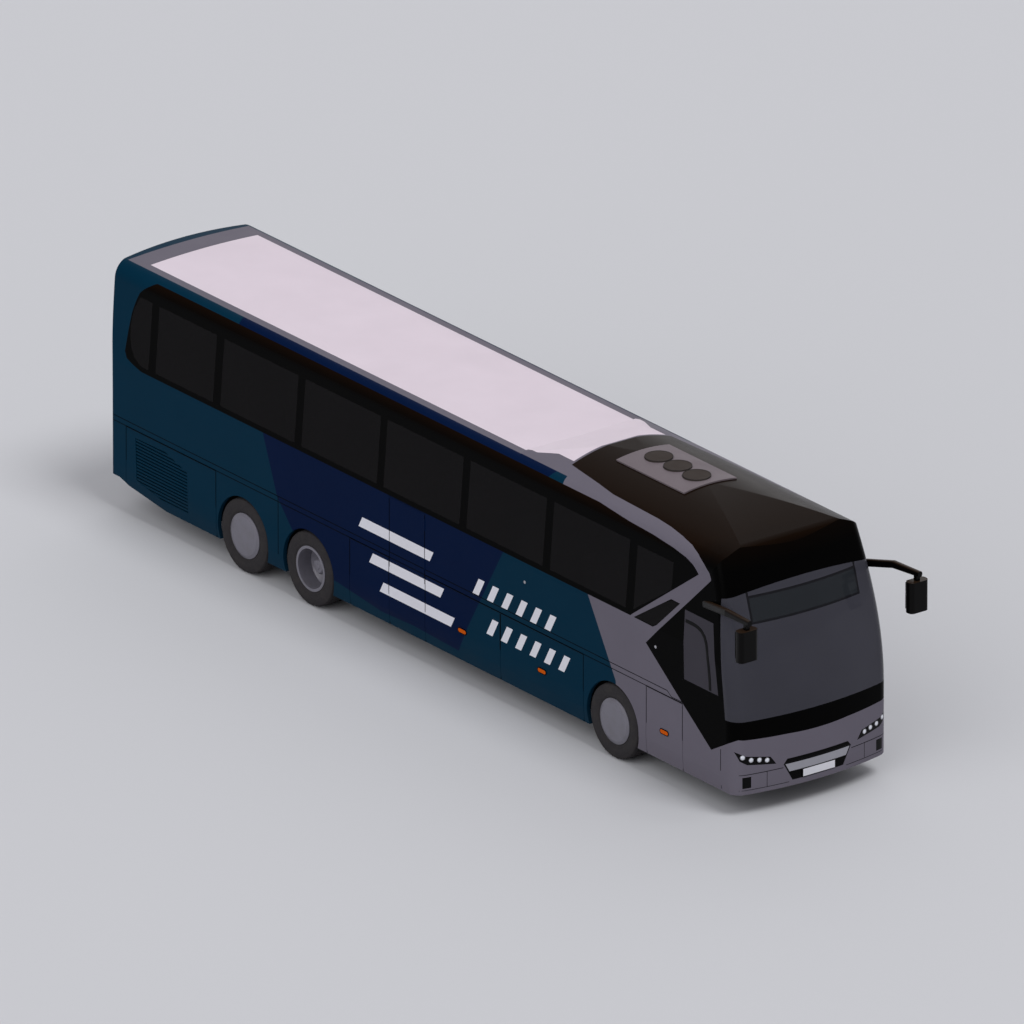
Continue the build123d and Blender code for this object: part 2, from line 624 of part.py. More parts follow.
# Panels of the cab's floor and of the entrance well: x stations, y and z ranges.
CAB_PANELS = [
    ((FLOOR_FRONT - PLATE, FLOOR_FRONT), DECK, (RAIL_TOP_Z, FLOOR_LOW_Z)),
    ((FLOOR_FRONT, RAIL_FRONT), (-DECK_Y + 10, WELL_Y), (RAIL_TOP_Z, CAB_Z)),
    ((FLOOR_FRONT, FLOOR_FRONT + 2 * CAB_STEP), (-CAB_STEP_HALF, CAB_STEP_HALF), (CAB_Z, 990)),
    ((FLOOR_FRONT, FLOOR_FRONT + CAB_STEP), (-CAB_STEP_HALF, CAB_STEP_HALF), (990, 1160)),
    ((FLOOR_FRONT, WELL_X[0]), (WELL_Y, well_out), (RAIL_TOP_Z, CAB_Z)),
    (WELL_X, (WELL_Y, well_out), (WELL_Z - PLATE, WELL_Z)),
    (WELL_X, (WELL_Y, well_in), (WELL_Z, CAB_Z)),
    ((WELL_X[0], WELL_X[0] + PLATE), (well_in, well_out), (WELL_Z, CAB_Z)),
    ((WELL_X[0] + PLATE, WELL_X[1]), (well_in, well_in + 230), (WELL_Z, 625)),
]
with BuildPart() as cab_floor:
    for x, y, z in CAB_PANELS:
        add(block(x, y, z, FIT / 2))
    add(INNER, mode=Mode.INTERSECT)
write(cab_floor.part, "cab_floor")

# ---------------------------------------------------------------- inside the cab and saloon
with BuildPart() as dashboard:
    with BuildSketch(Plane.XZ.offset(-1150)):
        with BuildLine():
            Polyline(
                [(at(x), z) for x, z in
                 [(2180, CAB_Z), (2180, 1180), (2120, 1300), (2200, 1330), (2560, 1325), (2560, CAB_Z)]],
                close=True,
            )
        make_face()
    extrude(amount=1150 + 1190)
    add(INNER, mode=Mode.INTERSECT)
    add(block((WELL_X[0], 2240), (WELL_Y, OUT_Y), (LOW_Z, HIGH_Z)), mode=Mode.SUBTRACT)
    # Binnacle with the steering column's wheel in front of it.
    with BuildSketch(Plane.YZ.offset(at(2190))):
        with Locations((-520, 1380)):
            Ellipse(260, 110)
    extrude(amount=260)
write(dashboard.part, "dashboard")

STEER_Y, STEER_X, STEER_Z, STEER_TILT = -520.0, 2000.0, 1420.0, 62.0
with BuildPart() as steering_wheel:
    hub = Plane(
        origin=(at(STEER_X), STEER_Y, STEER_Z), x_dir=(0, 1, 0),
        z_dir=(-sin(radians(90 - STEER_TILT)), 0, cos(radians(90 - STEER_TILT)))
    )
    with BuildSketch(hub):
        with Locations((0, 0)):
            Circle(235)
            Circle(205, mode=Mode.SUBTRACT)
            Circle(60)
            Rectangle(430, 40)
    extrude(amount=25)
    with BuildSketch(hub):
        Circle(30)
    extrude(until=Until.NEXT, target=dashboard.part, dir=-hub.z_dir)
write(steering_wheel.part, "steering_wheel")

# Side views of a seat's parts from the station of its rear foot and its floor.
CUSHION = [(-90, 330), (150, 320), (330, 320), (480, 330), (500, 430), (30, 420)]
BACKREST = [(-90, 330), (30, 420), (-120, 1130), (-230, 1120)]
PEDESTAL = (150.0, 330.0)
CUSHION_LOW_Z, PEDESTAL_INSET = 320.0, 100.0
SEAT_PITCH, SEAT_ROWS, FIRST_SEAT = 810.0, 13, -480.0
SEAT_WIDTH, SEAT_SPLIT, AISLE_Y = 440.0, 20.0, 250.0
DRIVER_SEAT, DRIVER_SEAT_WIDTH = 1180.0, 500.0


def seat_forms(station, floor_z, y):
    """A cushion and its backrest, apart by the joint between them."""
    return [
        side_prism([(station + x, floor_z + z) for x, z in outline], y, FIT / 2)
        for outline in (CUSHION, BACKREST)
    ]


def pedestal(station, floor_z, y):
    """The foot that carries the cushions of one bench."""
    x = (station + PEDESTAL[0], station + PEDESTAL[1])
    return block(x, y, (floor_z, floor_z + CUSHION_LOW_Z - FIT))


with BuildPart() as seats:
    for row in range(SEAT_ROWS):
        station = FIRST_SEAT - row * SEAT_PITCH
        for side in (-1, 1):
            over_stairs = side < 0 and STAIR[0] < station + PEDESTAL[1] and station + PEDESTAL[0] < STAIR[1]
            if over_stairs:
                continue
            for place in (0, 1):
                near = AISLE_Y + place * (SEAT_WIDTH + SEAT_SPLIT)
                add(seat_forms(station, FLOOR_Z, tuple(sorted((side * near, side * (near + SEAT_WIDTH))))))
            bench = (AISLE_Y + PEDESTAL_INSET, AISLE_Y + 2 * SEAT_WIDTH + SEAT_SPLIT - PEDESTAL_INSET)
            add(pedestal(station, FLOOR_Z, tuple(sorted((side * bench[0], side * bench[1])))))
    y = (STEER_Y - DRIVER_SEAT_WIDTH / 2, STEER_Y + DRIVER_SEAT_WIDTH / 2)
    add(seat_forms(DRIVER_SEAT, CAB_Z, y))
    add(pedestal(DRIVER_SEAT, CAB_Z, (y[0] + PEDESTAL_INSET, y[1] - PEDESTAL_INSET)))
write(seats.part, "seats")

with BuildPart() as destination_sign:
    add(side_prism([(2335, 2965), (2460, 2600), (2400, 2580), (2275, 2945)], (-890, 890)))
    for side in (-1, 1):
        y = tuple(sorted((side * 860, side * 890)))
        add(side_prism([(2335, 2965), (2275, 2945), (2200, 3200), (2260, 3200)], y))
    add(INNER, mode=Mode.INTERSECT)
write(destination_sign.part, "destination_sign")

# ---------------------------------------------------------------- roof hatch and mirrors
HATCH_X, HATCH_LENGTH, HATCH_Y, HATCH_RISE = -296.0, 1450.0, 435.0, 20.0
VENTS, VENT_RADIUS, VENT_RISE = (-675.0, -270.0, 135.0), 190.0, 14.0
with BuildPart() as roof_hatch:
    with BuildSketch(Plane.YZ.offset(at(HATCH_X - HATCH_LENGTH / 2))):
        with Locations((0, DOME_CENTRE_Z)):
            Circle(DOME_CROWN_RADIUS + HATCH_RISE)
            Circle(DOME_CROWN_RADIUS, mode=Mode.SUBTRACT)
        with Locations((0, DOME_CROWN_Z)):
            Rectangle(2 * HATCH_Y, 400, mode=Mode.INTERSECT)
    extrude(amount=HATCH_LENGTH)
    with BuildSketch(Plane.XY.offset(DOME_CROWN_Z + HATCH_RISE - 8)):
        with Locations(*[(at(x), 0) for x in VENTS]):
            Circle(VENT_RADIUS)
    extrude(amount=8 + VENT_RISE)
write(roof_hatch.part, "roof_hatch")

# Stations of a mirror's arm: x, y, z of the middle, width and height of the section.
MIRROR_ARM = [
    (1780.0, 1170.0, 2760.0, 70.0, 110.0),
    (2560.0, 1370.0, 2925.0, 80.0, 105.0),
    (3085.0, 1400.0, 2945.0, 70.0, 80.0),
]
HEAD_SIZE = (150.0, 300.0, 430.0)
HEAD_X, HEAD_Y, HEAD_Z = MIRROR_END - HEAD_SIZE[0] / 2, 1400.0, 2627.0


def mirror_limb(side, low, high):
    """One straight length of a mirror's arm, clear of the body."""
    with BuildPart() as limb:
        for x, y, z, width, height in (low, high):
            with BuildSketch(Plane.YZ.offset(at(x))):
                with Locations((side * y, z)):
                    RectangleRounded(width, height, 30)
        loft(ruled=True)
    return limb.part - OUTER


limbs = [mirror_limb(side, low, high) for side in (-1, 1) for low, high in zip(MIRROR_ARM, MIRROR_ARM[1:])]
with BuildPart() as mirrors:
    add(limbs)
    for side in (-1, 1):
        with Locations((at(HEAD_X), side * HEAD_Y, HEAD_Z)):
            head = Box(*HEAD_SIZE)
        fillet(head.edges().filter_by(Axis.Z), 60)
        with Locations((at(HEAD_X), side * HEAD_Y, (HEAD_Z + 2945) / 2)):
            Box(60, 60, 2945 - HEAD_Z)
write(mirrors.part, "mirrors")

# ---------------------------------------------------------------- engine and axles
ENGINE = ((-10350.0, -9150.0), (-RAIL_IN + 5, RAIL_IN - 5), (520.0, 1180.0))
with BuildPart() as engine:
    add(block(*ENGINE))
    for x in (-10250.0, -9350.0):
        add(block((x, x + 120), (-RAIL_OUT, RAIL_OUT), (RAIL_TOP_Z, RAIL_TOP_Z + 60)))
write(engine.part, "engine")

SPINDLE_RADIUS = 45.0
KINGPIN_RADIUS = 20.0
EYE_RADIUS, EYE_HEIGHT = 50.0, 104.0
LUG_HEIGHT = 46.0
AXLE_Z = TYRE_RADIUS
PAD_Y = (RAIL_IN, RAIL_OUT)


def upright(side, radius, z):
    """A vertical cylinder on a kingpin's line."""
    return Pos(at(0), side * KINGPIN_Y, (z[0] + z[1]) / 2) * Cylinder(radius, z[1] - z[0], mode=Mode.PRIVATE)


with BuildPart() as front_axle:
    add(block((-45, 45), (-KINGPIN_Y, KINGPIN_Y), (AXLE_Z - EYE_HEIGHT / 2 + 4, AXLE_Z + EYE_HEIGHT / 2 - 4)))
    for side in (-1, 1):
        bore = (AXLE_Z - EYE_HEIGHT / 2, AXLE_Z + EYE_HEIGHT / 2)
        y = tuple(sorted((side * PAD_Y[0], side * PAD_Y[1])))
        add(block((-60, 60), y, (AXLE_Z, RAIL_LOW_Z)))
        add(upright(side, EYE_RADIUS, bore))
        add(upright(side, KINGPIN_RADIUS + FIT, bore), mode=Mode.SUBTRACT)
write(front_axle.part, "front_axle")

for side, name in ((-1, "right"), (1, "left")):
    low = AXLE_Z - EYE_HEIGHT / 2 - FIT
    high = AXLE_Z + EYE_HEIGHT / 2 + FIT
    web = tuple(sorted((side * (KINGPIN_Y + EYE_RADIUS + 6), side * (KINGPIN_Y + EYE_RADIUS + 36))))
    lugs = tuple(sorted((side * KINGPIN_Y, side * (KINGPIN_Y + EYE_RADIUS + 36))))
    spindle = tuple(sorted((side * (KINGPIN_Y + EYE_RADIUS + 30), side * (WHEEL_FACE_Y - 82))))
    with BuildPart() as knuckle:
        for z in ((low - LUG_HEIGHT, low), (high, high + LUG_HEIGHT)):
            add(upright(side, EYE_RADIUS, z))
            add(block((-EYE_RADIUS, EYE_RADIUS), lugs, z))
        add(upright(side, KINGPIN_RADIUS, (low - 1, high + 1)))
        add(block((-EYE_RADIUS, EYE_RADIUS), web, (low - LUG_HEIGHT, high + LUG_HEIGHT)))
        add(arch(0, SPINDLE_RADIUS, spindle))
    write(knuckle.part, f"knuckle_{name}")

# Rear axles: name, axle, beam radius, end of the spindle, radius of the bevel housing.
REAR_AXLES = [("drive_axle", DRIVE_AXLE, 75.0, 1120.0, 200.0), ("tag_axle", TAG_AXLE, 60.0, 1180.0, 0.0)]
for name, axle, beam, spindle_y, housing in REAR_AXLES:
    with BuildPart() as rear_axle:
        add(arch(axle, beam, (-HOUSE_Y, HOUSE_Y)))
        add(arch(axle, SPINDLE_RADIUS, (-spindle_y, spindle_y)))
        for side in (-1, 1):
            y = tuple(sorted((side * PAD_Y[0], side * PAD_Y[1])))
            add(block((axle - 60, axle + 60), y, (AXLE_Z, RAIL_LOW_Z)))
        if housing:
            add(arch(axle, housing, (-170, 170)))
            with Locations((at(axle + housing), 0, AXLE_Z)):
                Cylinder(90, 200, rotation=(0, 90, 0))
    write(rear_axle.part, name)

# ---------------------------------------------------------------- wheels
BEAD = 115.0
FLANGE = 127.0
BARREL = 10.0
# Half of a tyre's section from bead to tread: out from the middle plane, radius.
TYRE = [(BEAD, RIM_RADIUS + FIT), (BEAD, RIM_FLANGE_RADIUS + 2), (140, 372), (147.5, 410), (144, 462),
        (132, 500), (112, 517), (70, TYRE_RADIUS)]


def spin_plane(axle):
    """Section plane through an axle's line."""
    return Plane.YZ.offset(at(axle))


def axle_line(axle):
    """Line that a wheel turns round."""
    return Axis((at(axle), 0, AXLE_Z), (0, 1, 0))


def tyre_section(side, middle):
    """A tyre's closed section round its middle plane."""
    outward = [(middle + o, AXLE_Z + r) for o, r in TYRE]
    inward = [(middle - o, AXLE_Z + r) for o, r in reversed(TYRE)]
    Polyline([(side * y, z) for y, z in outward + inward], close=True)


def ring(side, points):
    """Closed section from (y, radius) points on one side of the coach."""
    Polyline([(side * y, AXLE_Z + r) for y, r in points], close=True)


def barrel_points(middle):
    """Section of a rim's barrel with its two flanges."""
    low, high = RIM_RADIUS - BARREL, RIM_RADIUS
    return [
        (middle - FLANGE, low), (middle - FLANGE, RIM_FLANGE_RADIUS),
        (middle - BEAD - FIT, RIM_FLANGE_RADIUS), (middle - BEAD - FIT, high),
        (middle + BEAD + FIT, high), (middle + BEAD + FIT, RIM_FLANGE_RADIUS),
        (middle + FLANGE, RIM_FLANGE_RADIUS), (middle + FLANGE, low),
    ]


WHEEL_Y = WHEEL_FACE_Y - TYRE_WIDTH / 2
TWIN_Y = WHEEL_Y - TWIN_SPACING
BORE = SPINDLE_RADIUS + FIT
# Single wheels: name, axle. Their outer cover is a shallow cone with a flat face.
for name, axle in (("front", 0.0), ("tag", TAG_AXLE)):
    for side, hand in ((-1, "right"), (1, "left")):
        with BuildPart() as tyre:
            with BuildSketch(spin_plane(axle)):
                with BuildLine():
                    tyre_section(side, WHEEL_Y)
                make_face()
            revolve(axis=axle_line(axle))
        write(tyre.part, f"{name}_tyre_{hand}")
        with BuildPart() as rim:
            sections = [
                barrel_points(WHEEL_Y),
                [(WHEEL_Y - 20, BORE), (WHEEL_Y - 20, 105), (WHEEL_Y + 50, 105), (WHEEL_Y + 50, 280),
                 (WHEEL_Y + 65, 280), (WHEEL_Y + 65, BORE)],
                [(WHEEL_Y + 139, 0), (WHEEL_Y + 147, 0), (WHEEL_Y + 147, 270), (WHEEL_Y + FLANGE, 312),
                 (WHEEL_Y + FLANGE - 8, 300), (WHEEL_Y + FLANGE - 8, 280), (WHEEL_Y + 139, 264)],
            ]
            with BuildSketch(spin_plane(axle)):
                for points in sections:
                    with BuildLine():
                        ring(side, points)
                    make_face()
            revolve(axis=axle_line(axle))
        write(rim.part, f"{name}_rim_{hand}")

for side, hand in ((-1, "right"), (1, "left")):
    middles = (WHEEL_Y, TWIN_Y)
    with BuildPart() as tyre:
        with BuildSketch(spin_plane(DRIVE_AXLE)):
            for middle in middles:
                with BuildLine():
                    tyre_section(side, middle)
                make_face()
        revolve(axis=axle_line(DRIVE_AXLE))
    write(tyre.part, f"drive_tyres_{hand}")
    joint_y = (WHEEL_Y + TWIN_Y) / 2
    with BuildPart() as rim:
        sections = [barrel_points(middle) for middle in middles]
        sections += [
            [(joint_y - 13, BORE), (joint_y - 13, 215), (TWIN_Y + 90, 280), (TWIN_Y + 105, 280),
             (joint_y, 225), (WHEEL_Y - 105, 280), (WHEEL_Y - 90, 280), (joint_y + 13, 215),
             (joint_y + 13, 112), (joint_y + 150, 108), (joint_y + 165, 95), (joint_y + 165, BORE)],
        ]
        with BuildSketch(spin_plane(DRIVE_AXLE)):
            for points in sections:
                with BuildLine():
                    ring(side, points)
                make_face()
        revolve(axis=axle_line(DRIVE_AXLE))
    write(rim.part, f"drive_rims_{hand}")
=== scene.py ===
"""Looks of the three-axle touring coach: livery, glass, tyres, lamps, seats and trim on the CAD frame.

Metres. Stations are measured along the coach from the front axle, forward positive.
"""

from math import cos, pi, radians, sin

import bmesh
import bpy
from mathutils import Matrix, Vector
from mathutils.bvhtree import BVHTree


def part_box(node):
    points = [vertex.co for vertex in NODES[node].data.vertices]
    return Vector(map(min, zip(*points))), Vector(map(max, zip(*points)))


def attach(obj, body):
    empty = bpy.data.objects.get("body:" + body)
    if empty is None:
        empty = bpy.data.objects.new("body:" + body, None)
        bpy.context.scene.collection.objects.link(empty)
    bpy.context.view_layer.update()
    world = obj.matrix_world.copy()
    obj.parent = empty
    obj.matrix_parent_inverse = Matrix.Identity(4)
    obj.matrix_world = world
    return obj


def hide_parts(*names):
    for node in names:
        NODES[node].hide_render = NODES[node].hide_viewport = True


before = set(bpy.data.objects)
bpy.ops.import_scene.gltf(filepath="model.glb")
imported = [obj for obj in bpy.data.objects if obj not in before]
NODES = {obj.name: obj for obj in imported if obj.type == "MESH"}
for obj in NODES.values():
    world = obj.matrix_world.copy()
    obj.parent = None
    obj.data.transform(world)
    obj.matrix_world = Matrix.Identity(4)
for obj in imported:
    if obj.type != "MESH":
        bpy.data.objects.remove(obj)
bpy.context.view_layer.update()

# ---------------------------------------------------------------- sizes shared with the CAD
low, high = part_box("front_tyre_right")
AXLE_X = (low.x + high.x) / 2
AXLE_Z = (low.z + high.z) / 2
DRIVE_AXLE, TAG_AXLE = -6.6, -8.04
HALF_WIDTH, ROOF_EDGE_Y = 1.275, 1.0
WAIST_Z, FLOOR_Z, CAB_Z = 2.14, 1.33, 0.82
VENT_STATIONS, VENT_RADIUS = (-0.675, -0.27, 0.135), 0.19
SIDES = (("right", -1), ("left", 1))
# Where rays start: beside a wheel, beside the body, ahead of the nose, above the roof.
BESIDE_WHEEL, BESIDE_BODY, AHEAD, ABOVE = 1.5, 2.0, 4.0, 5.0


def at(station):
    """X of a station measured from the front axle."""
    return AXLE_X + station


def linear(red, green, blue):
    """Linear colour from display values of 0 to 255."""
    return tuple(
        v / 255 / 12.92 if v / 255 <= 0.04045 else ((v / 255 + 0.055) / 1.055) ** 2.4
        for v in (red, green, blue)
    ) + (1.0,)


TEAL = linear(3, 42, 62)
NAVY = linear(3, 21, 54)
SILVER = linear(104, 100, 111)
WHITE = linear(218, 206, 216)
BLACK = linear(3, 3, 3)
# Painted highlight: the brown that the black takes where it faces the sky.
PAINTED_HIGHLIGHT_BROWN = linear(22, 11, 4)
BAR_PALE = linear(222, 222, 230)
AMBER = linear(200, 86, 10)
TRIM_GREY = linear(120, 120, 124)
SEAM_BLACK = linear(3, 4, 5)
ROAD_DUST = linear(66, 60, 54)


# ---------------------------------------------------------------- materials
class Shade:
    """One material and the sockets that its nodes are built from."""

    def __init__(self, name):
        self.material = bpy.data.materials.new(name)
        self.material.use_nodes = True
        self.nodes = self.material.node_tree.nodes
        self.links = self.material.node_tree.links
        self.shader = next(n for n in self.nodes if n.type == "BSDF_PRINCIPLED")
        self.coordinates = self.nodes.new("ShaderNodeTexCoord")

    def put(self, socket, value):
        """Sets a socket to a number or colour, or links another socket to it."""
        if isinstance(value, bpy.types.NodeSocket):
            self.links.new(value, socket)
        else:
            socket.default_value = value

    def set(self, **values):
        """Sets the shader's own sockets, underscores standing for spaces."""
        for name, value in values.items():
            self.put(self.shader.inputs[name.replace("_", " ")], value)

    def math(self, operation, *values):
        """Socket of a sum on numbers or sockets."""
        node = self.nodes.new("ShaderNodeMath")
        node.operation = operation
        for socket, value in zip(node.inputs, values):
            self.put(socket, value)
        return node.outputs[0]

    def all(self, *masks):
        """Socket that is 1 where every mask is."""
        result = masks[0]
        for mask in masks[1:]:
            result = self.math("MULTIPLY", result, mask)
        return result

    def any(self, *masks):
        """Socket that is 1 where one of the masks is."""
        result = masks[0]
        for mask in masks[1:]:
            result = self.math("MAXIMUM", result, mask)
        return result

    def more(self, a, b):
        """Socket that is 1 where a is over b."""
        return self.math("GREATER_THAN", a, b)

    def less(self, a, b):
        """Socket that is 1 where a is under b."""
        return self.math("LESS_THAN", a, b)

    def within(self, value, low_end, high_end):
        """Socket that is 1 where value lies between two ends."""
        return self.all(self.more(value, low_end), self.less(value, high_end))

    def ramp(self, value, from_ends, to_ends):
        """Socket of value carried from one range to another, clamped."""
        node = self.nodes.new("ShaderNodeMapRange")
        for socket, item in zip(node.inputs, (value, *from_ends, *to_ends)):
            self.put(socket, item)
        return node.outputs[0]

    def line(self, value, points):
        """Socket of a line through points (input, output), straight between them."""
        outputs = [p[1] for p in points]
        spans = (points[0][0], points[-1][0]), (min(outputs), max(outputs))
        node = self.nodes.new("ShaderNodeFloatCurve")
        curve = node.mapping.curves[0]
        scaled = [
            tuple((part - first) / (last - first) for part, (first, last) in zip(point, spans))
            for point in points
        ]
        for _ in scaled[2:]:
            curve.points.new(0.5, 0.5)
        for point, place in zip(curve.points, scaled):
            point.location = place
            point.handle_type = "VECTOR"
        node.mapping.update()
        self.put(node.inputs["Value"], self.ramp(value, spans[0], (0.0, 1.0)))
        return self.ramp(node.outputs[0], (0.0, 1.0), spans[1])

    def mix(self, factor, a, b):
        """Socket of colour a going to colour b."""
        node = self.nodes.new("ShaderNodeMix")
        node.data_type = "RGBA"
        self.put(node.inputs["Factor"], factor)
        self.put(node.inputs[6], a)
        self.put(node.inputs[7], b)
        return node.outputs[2]

    def scale(self, colour, value):
        """Socket of a colour made brighter or darker."""
        node = self.nodes.new("ShaderNodeVectorMath")
        node.operation = "SCALE"
        self.put(node.inputs[0], colour if isinstance(colour, bpy.types.NodeSocket) else colour[:3])
        self.put(node.inputs["Scale"], value)
        return node.outputs[0]

    def noise(self, scale, detail=3.0, stretch=None):
        """Socket of noise in the row frame, from 0 to 1."""
        node = self.nodes.new("ShaderNodeTexNoise")
        node.inputs["Scale"].default_value = scale
        node.inputs["Detail"].default_value = detail
        where = self.coordinates.outputs["Object"]
        if stretch:
            mapping = self.nodes.new("ShaderNodeMapping")
            mapping.inputs["Scale"].default_value = stretch
            self.links.new(where, mapping.inputs["Vector"])
            where = mapping.outputs[0]
        self.links.new(where, node.inputs["Vector"])
        return node.outputs["Fac"]

    def bump(self, height, distance, strength=1.0):
        """Gives the shader a bump from a height."""
        node = self.nodes.new("ShaderNodeBump")
        node.inputs["Distance"].default_value = distance
        node.inputs["Strength"].default_value = strength
        self.put(node.inputs["Height"], height)
        self.links.new(node.outputs[0], self.shader.inputs["Normal"])

    def axes(self, output="Object"):
        """Sockets of the three coordinates in the row frame."""
        node = self.nodes.new("ShaderNodeSeparateXYZ")
        self.links.new(self.coordinates.outputs[output], node.inputs[0])
        return node.outputs


def finish_paint(shade, colour, roughness, wear=0.04, grain=60.0):
    """Colour with slight variation, roughness with smudges, and a fine orange peel."""
    clouds = shade.noise(1.3, 4.0)
    shade.set(Base_Color=shade.scale(colour, shade.ramp(clouds, (0.3, 0.7), (1.0 - wear, 1.0 + wear))))
    smudge = shade.noise(4.0, 6.0)
    if isinstance(roughness, bpy.types.NodeSocket):
        shade.set(Roughness=shade.math("MULTIPLY", roughness, shade.ramp(smudge, (0.3, 0.7), (0.85, 1.2))))
    else:
        shade.set(Roughness=shade.ramp(smudge, (0.3, 0.7), (roughness * 0.85, roughness * 1.2)))
    shade.bump(shade.noise(grain, 2.0), 0.0004, 0.25)


def plain(name, colour, roughness, metallic=0.0, wear=0.06, grain=120.0, **more):
    """A painted, moulded or cast surface in one colour."""
    shade = Shade(name)
    finish_paint(shade, colour, roughness, wear, grain)
    shade.set(Metallic=metallic, **more)
    return shade.material


# Outlines of the livery on both sides, each as (input, value). NAVY_REAR, NAVY_FRONT and SILVER_REAR give
# a station at a height, WHITE_HALF a half width at a station, and the others a height at a station.
NAVY_REAR = [(0.30, -6.2), (0.78, -6.72), (0.983, -6.964), (1.338, -7.285), (2.142, -7.595), (3.421, -8.33),
             (3.6, -8.43)]
NAVY_FRONT = [(0.30, -3.36), (0.431, -3.327), (0.837, -3.125), (2.145, -2.361), (3.421, -1.595), (3.6, -1.49)]
STRIP_TOP = [(-6.0, 0.55), (-5.821, 0.531), (-5.0, 0.44), (-4.3, 0.467), (-3.327, 0.431)]
SILVER_REAR = [(0.30, 0.068), (1.12, 0.068), (2.142, -0.531), (3.421, -1.285), (3.6, -1.42)]
BAND_TOP = [(-10.658, 2.33), (-10.627, 2.548), (-10.572, 2.853), (-10.495, 3.069), (-10.412, 3.224),
            (-10.303, 3.313), (-10.139, 3.418), (-0.5, 3.42), (0.183, 3.38), (0.722, 3.363), (1.165, 3.33),
            (1.454, 3.289), (1.611, 3.235), (1.719, 3.158), (1.731, 3.145)]
BAND_LOW = [(-10.658, 2.33), (-10.632, 2.25), (-10.477, 2.197), (-10.285, 2.15), (0.398, 2.15),
            (0.408, 2.178), (0.888, 2.529), (1.731, 3.145)]
CAP_LOW = [(-1.475, 3.557), (-0.783, 3.529), (-0.422, 3.51), (0.58, 3.499), (0.884, 3.489), (1.191, 3.469),
           (1.449, 3.442), (1.64, 3.394), (1.818, 3.316), (1.948, 3.231), (1.994, 3.157)]
NOSE_TOP = [(0.708, 1.875), (1.605, 2.757), (1.994, 3.145), (1.995, 4.2), (3.0, 4.2)]
NOSE_LOW = [(0.708, 1.875), (1.495, 1.278), (2.109, 0.824), (2.582, 1.094), (2.725, 1.06), (2.75, 1.042)]
STRIPE_WINDOW_TOP = [(0.451, 2.15), (1.197, 2.637), (1.386, 2.634)]
STRIPE_WINDOW_LOW = [(0.451, 2.149), (0.857, 2.146), (0.934, 2.193), (1.386, 2.633)]
# Silver panel on the roof: from this height up, between two stations. The white field lies inside it.
ROOF_PANEL_Z, ROOF_PANEL = 3.44, (-10.929, -1.2)
WHITE_HALF = [(-10.58, 0.885), (-2.139, 0.885), (-1.84, 0.755), (-1.514, 0.756)]
CAP_FRONT = 1.995
# On the black, where the painted brown highlight starts: two stations and the heights there, and how far
# above it is full.
HIGHLIGHT_FOOT, HIGHLIGHT_FADE = ((0.9, 1.9), (2.95, 3.28)), 0.34
BEAD_Z = (1.2685, 1.282)
# Grey lining inside: the ceiling's is above this height, the end walls' behind and ahead of these stations.
CEILING_Z, REAR_LINING, FRONT_LINING = 3.2, -10.9, 2.4
# Side markers: stations, height, half the straight length, radius of the lamp and of its black rim.
MARKER_STATIONS = (-3.24, -1.516, 1.111)
MARKER_Z, MARKER_HALF, MARKER_RADIUS, MARKER_RIM = 0.742, 0.056, 0.026, 0.045
# Pale bars on the side: station and height of the lower rear corner, length, height of the bar.
BARS = [(-5.50, 1.50, 1.55, 0.15), (-5.27, 1.06, 1.55, 0.15), (-5.04, 0.72, 1.55, 0.15)]
BAR_SLANT = 0.55
# Rows of pale dashes ahead of them: station of the first, low z, height, and how many.
DASH_ROWS = [(-3.02, 1.36, 0.24, 6), (-2.72, 0.88, 0.24, 6)]
DASH_PITCH, DASH_LENGTH = 0.31, 0.13


def ends_of(points):
    """First and last input of an outline."""
    return points[0][0], points[-1][0]


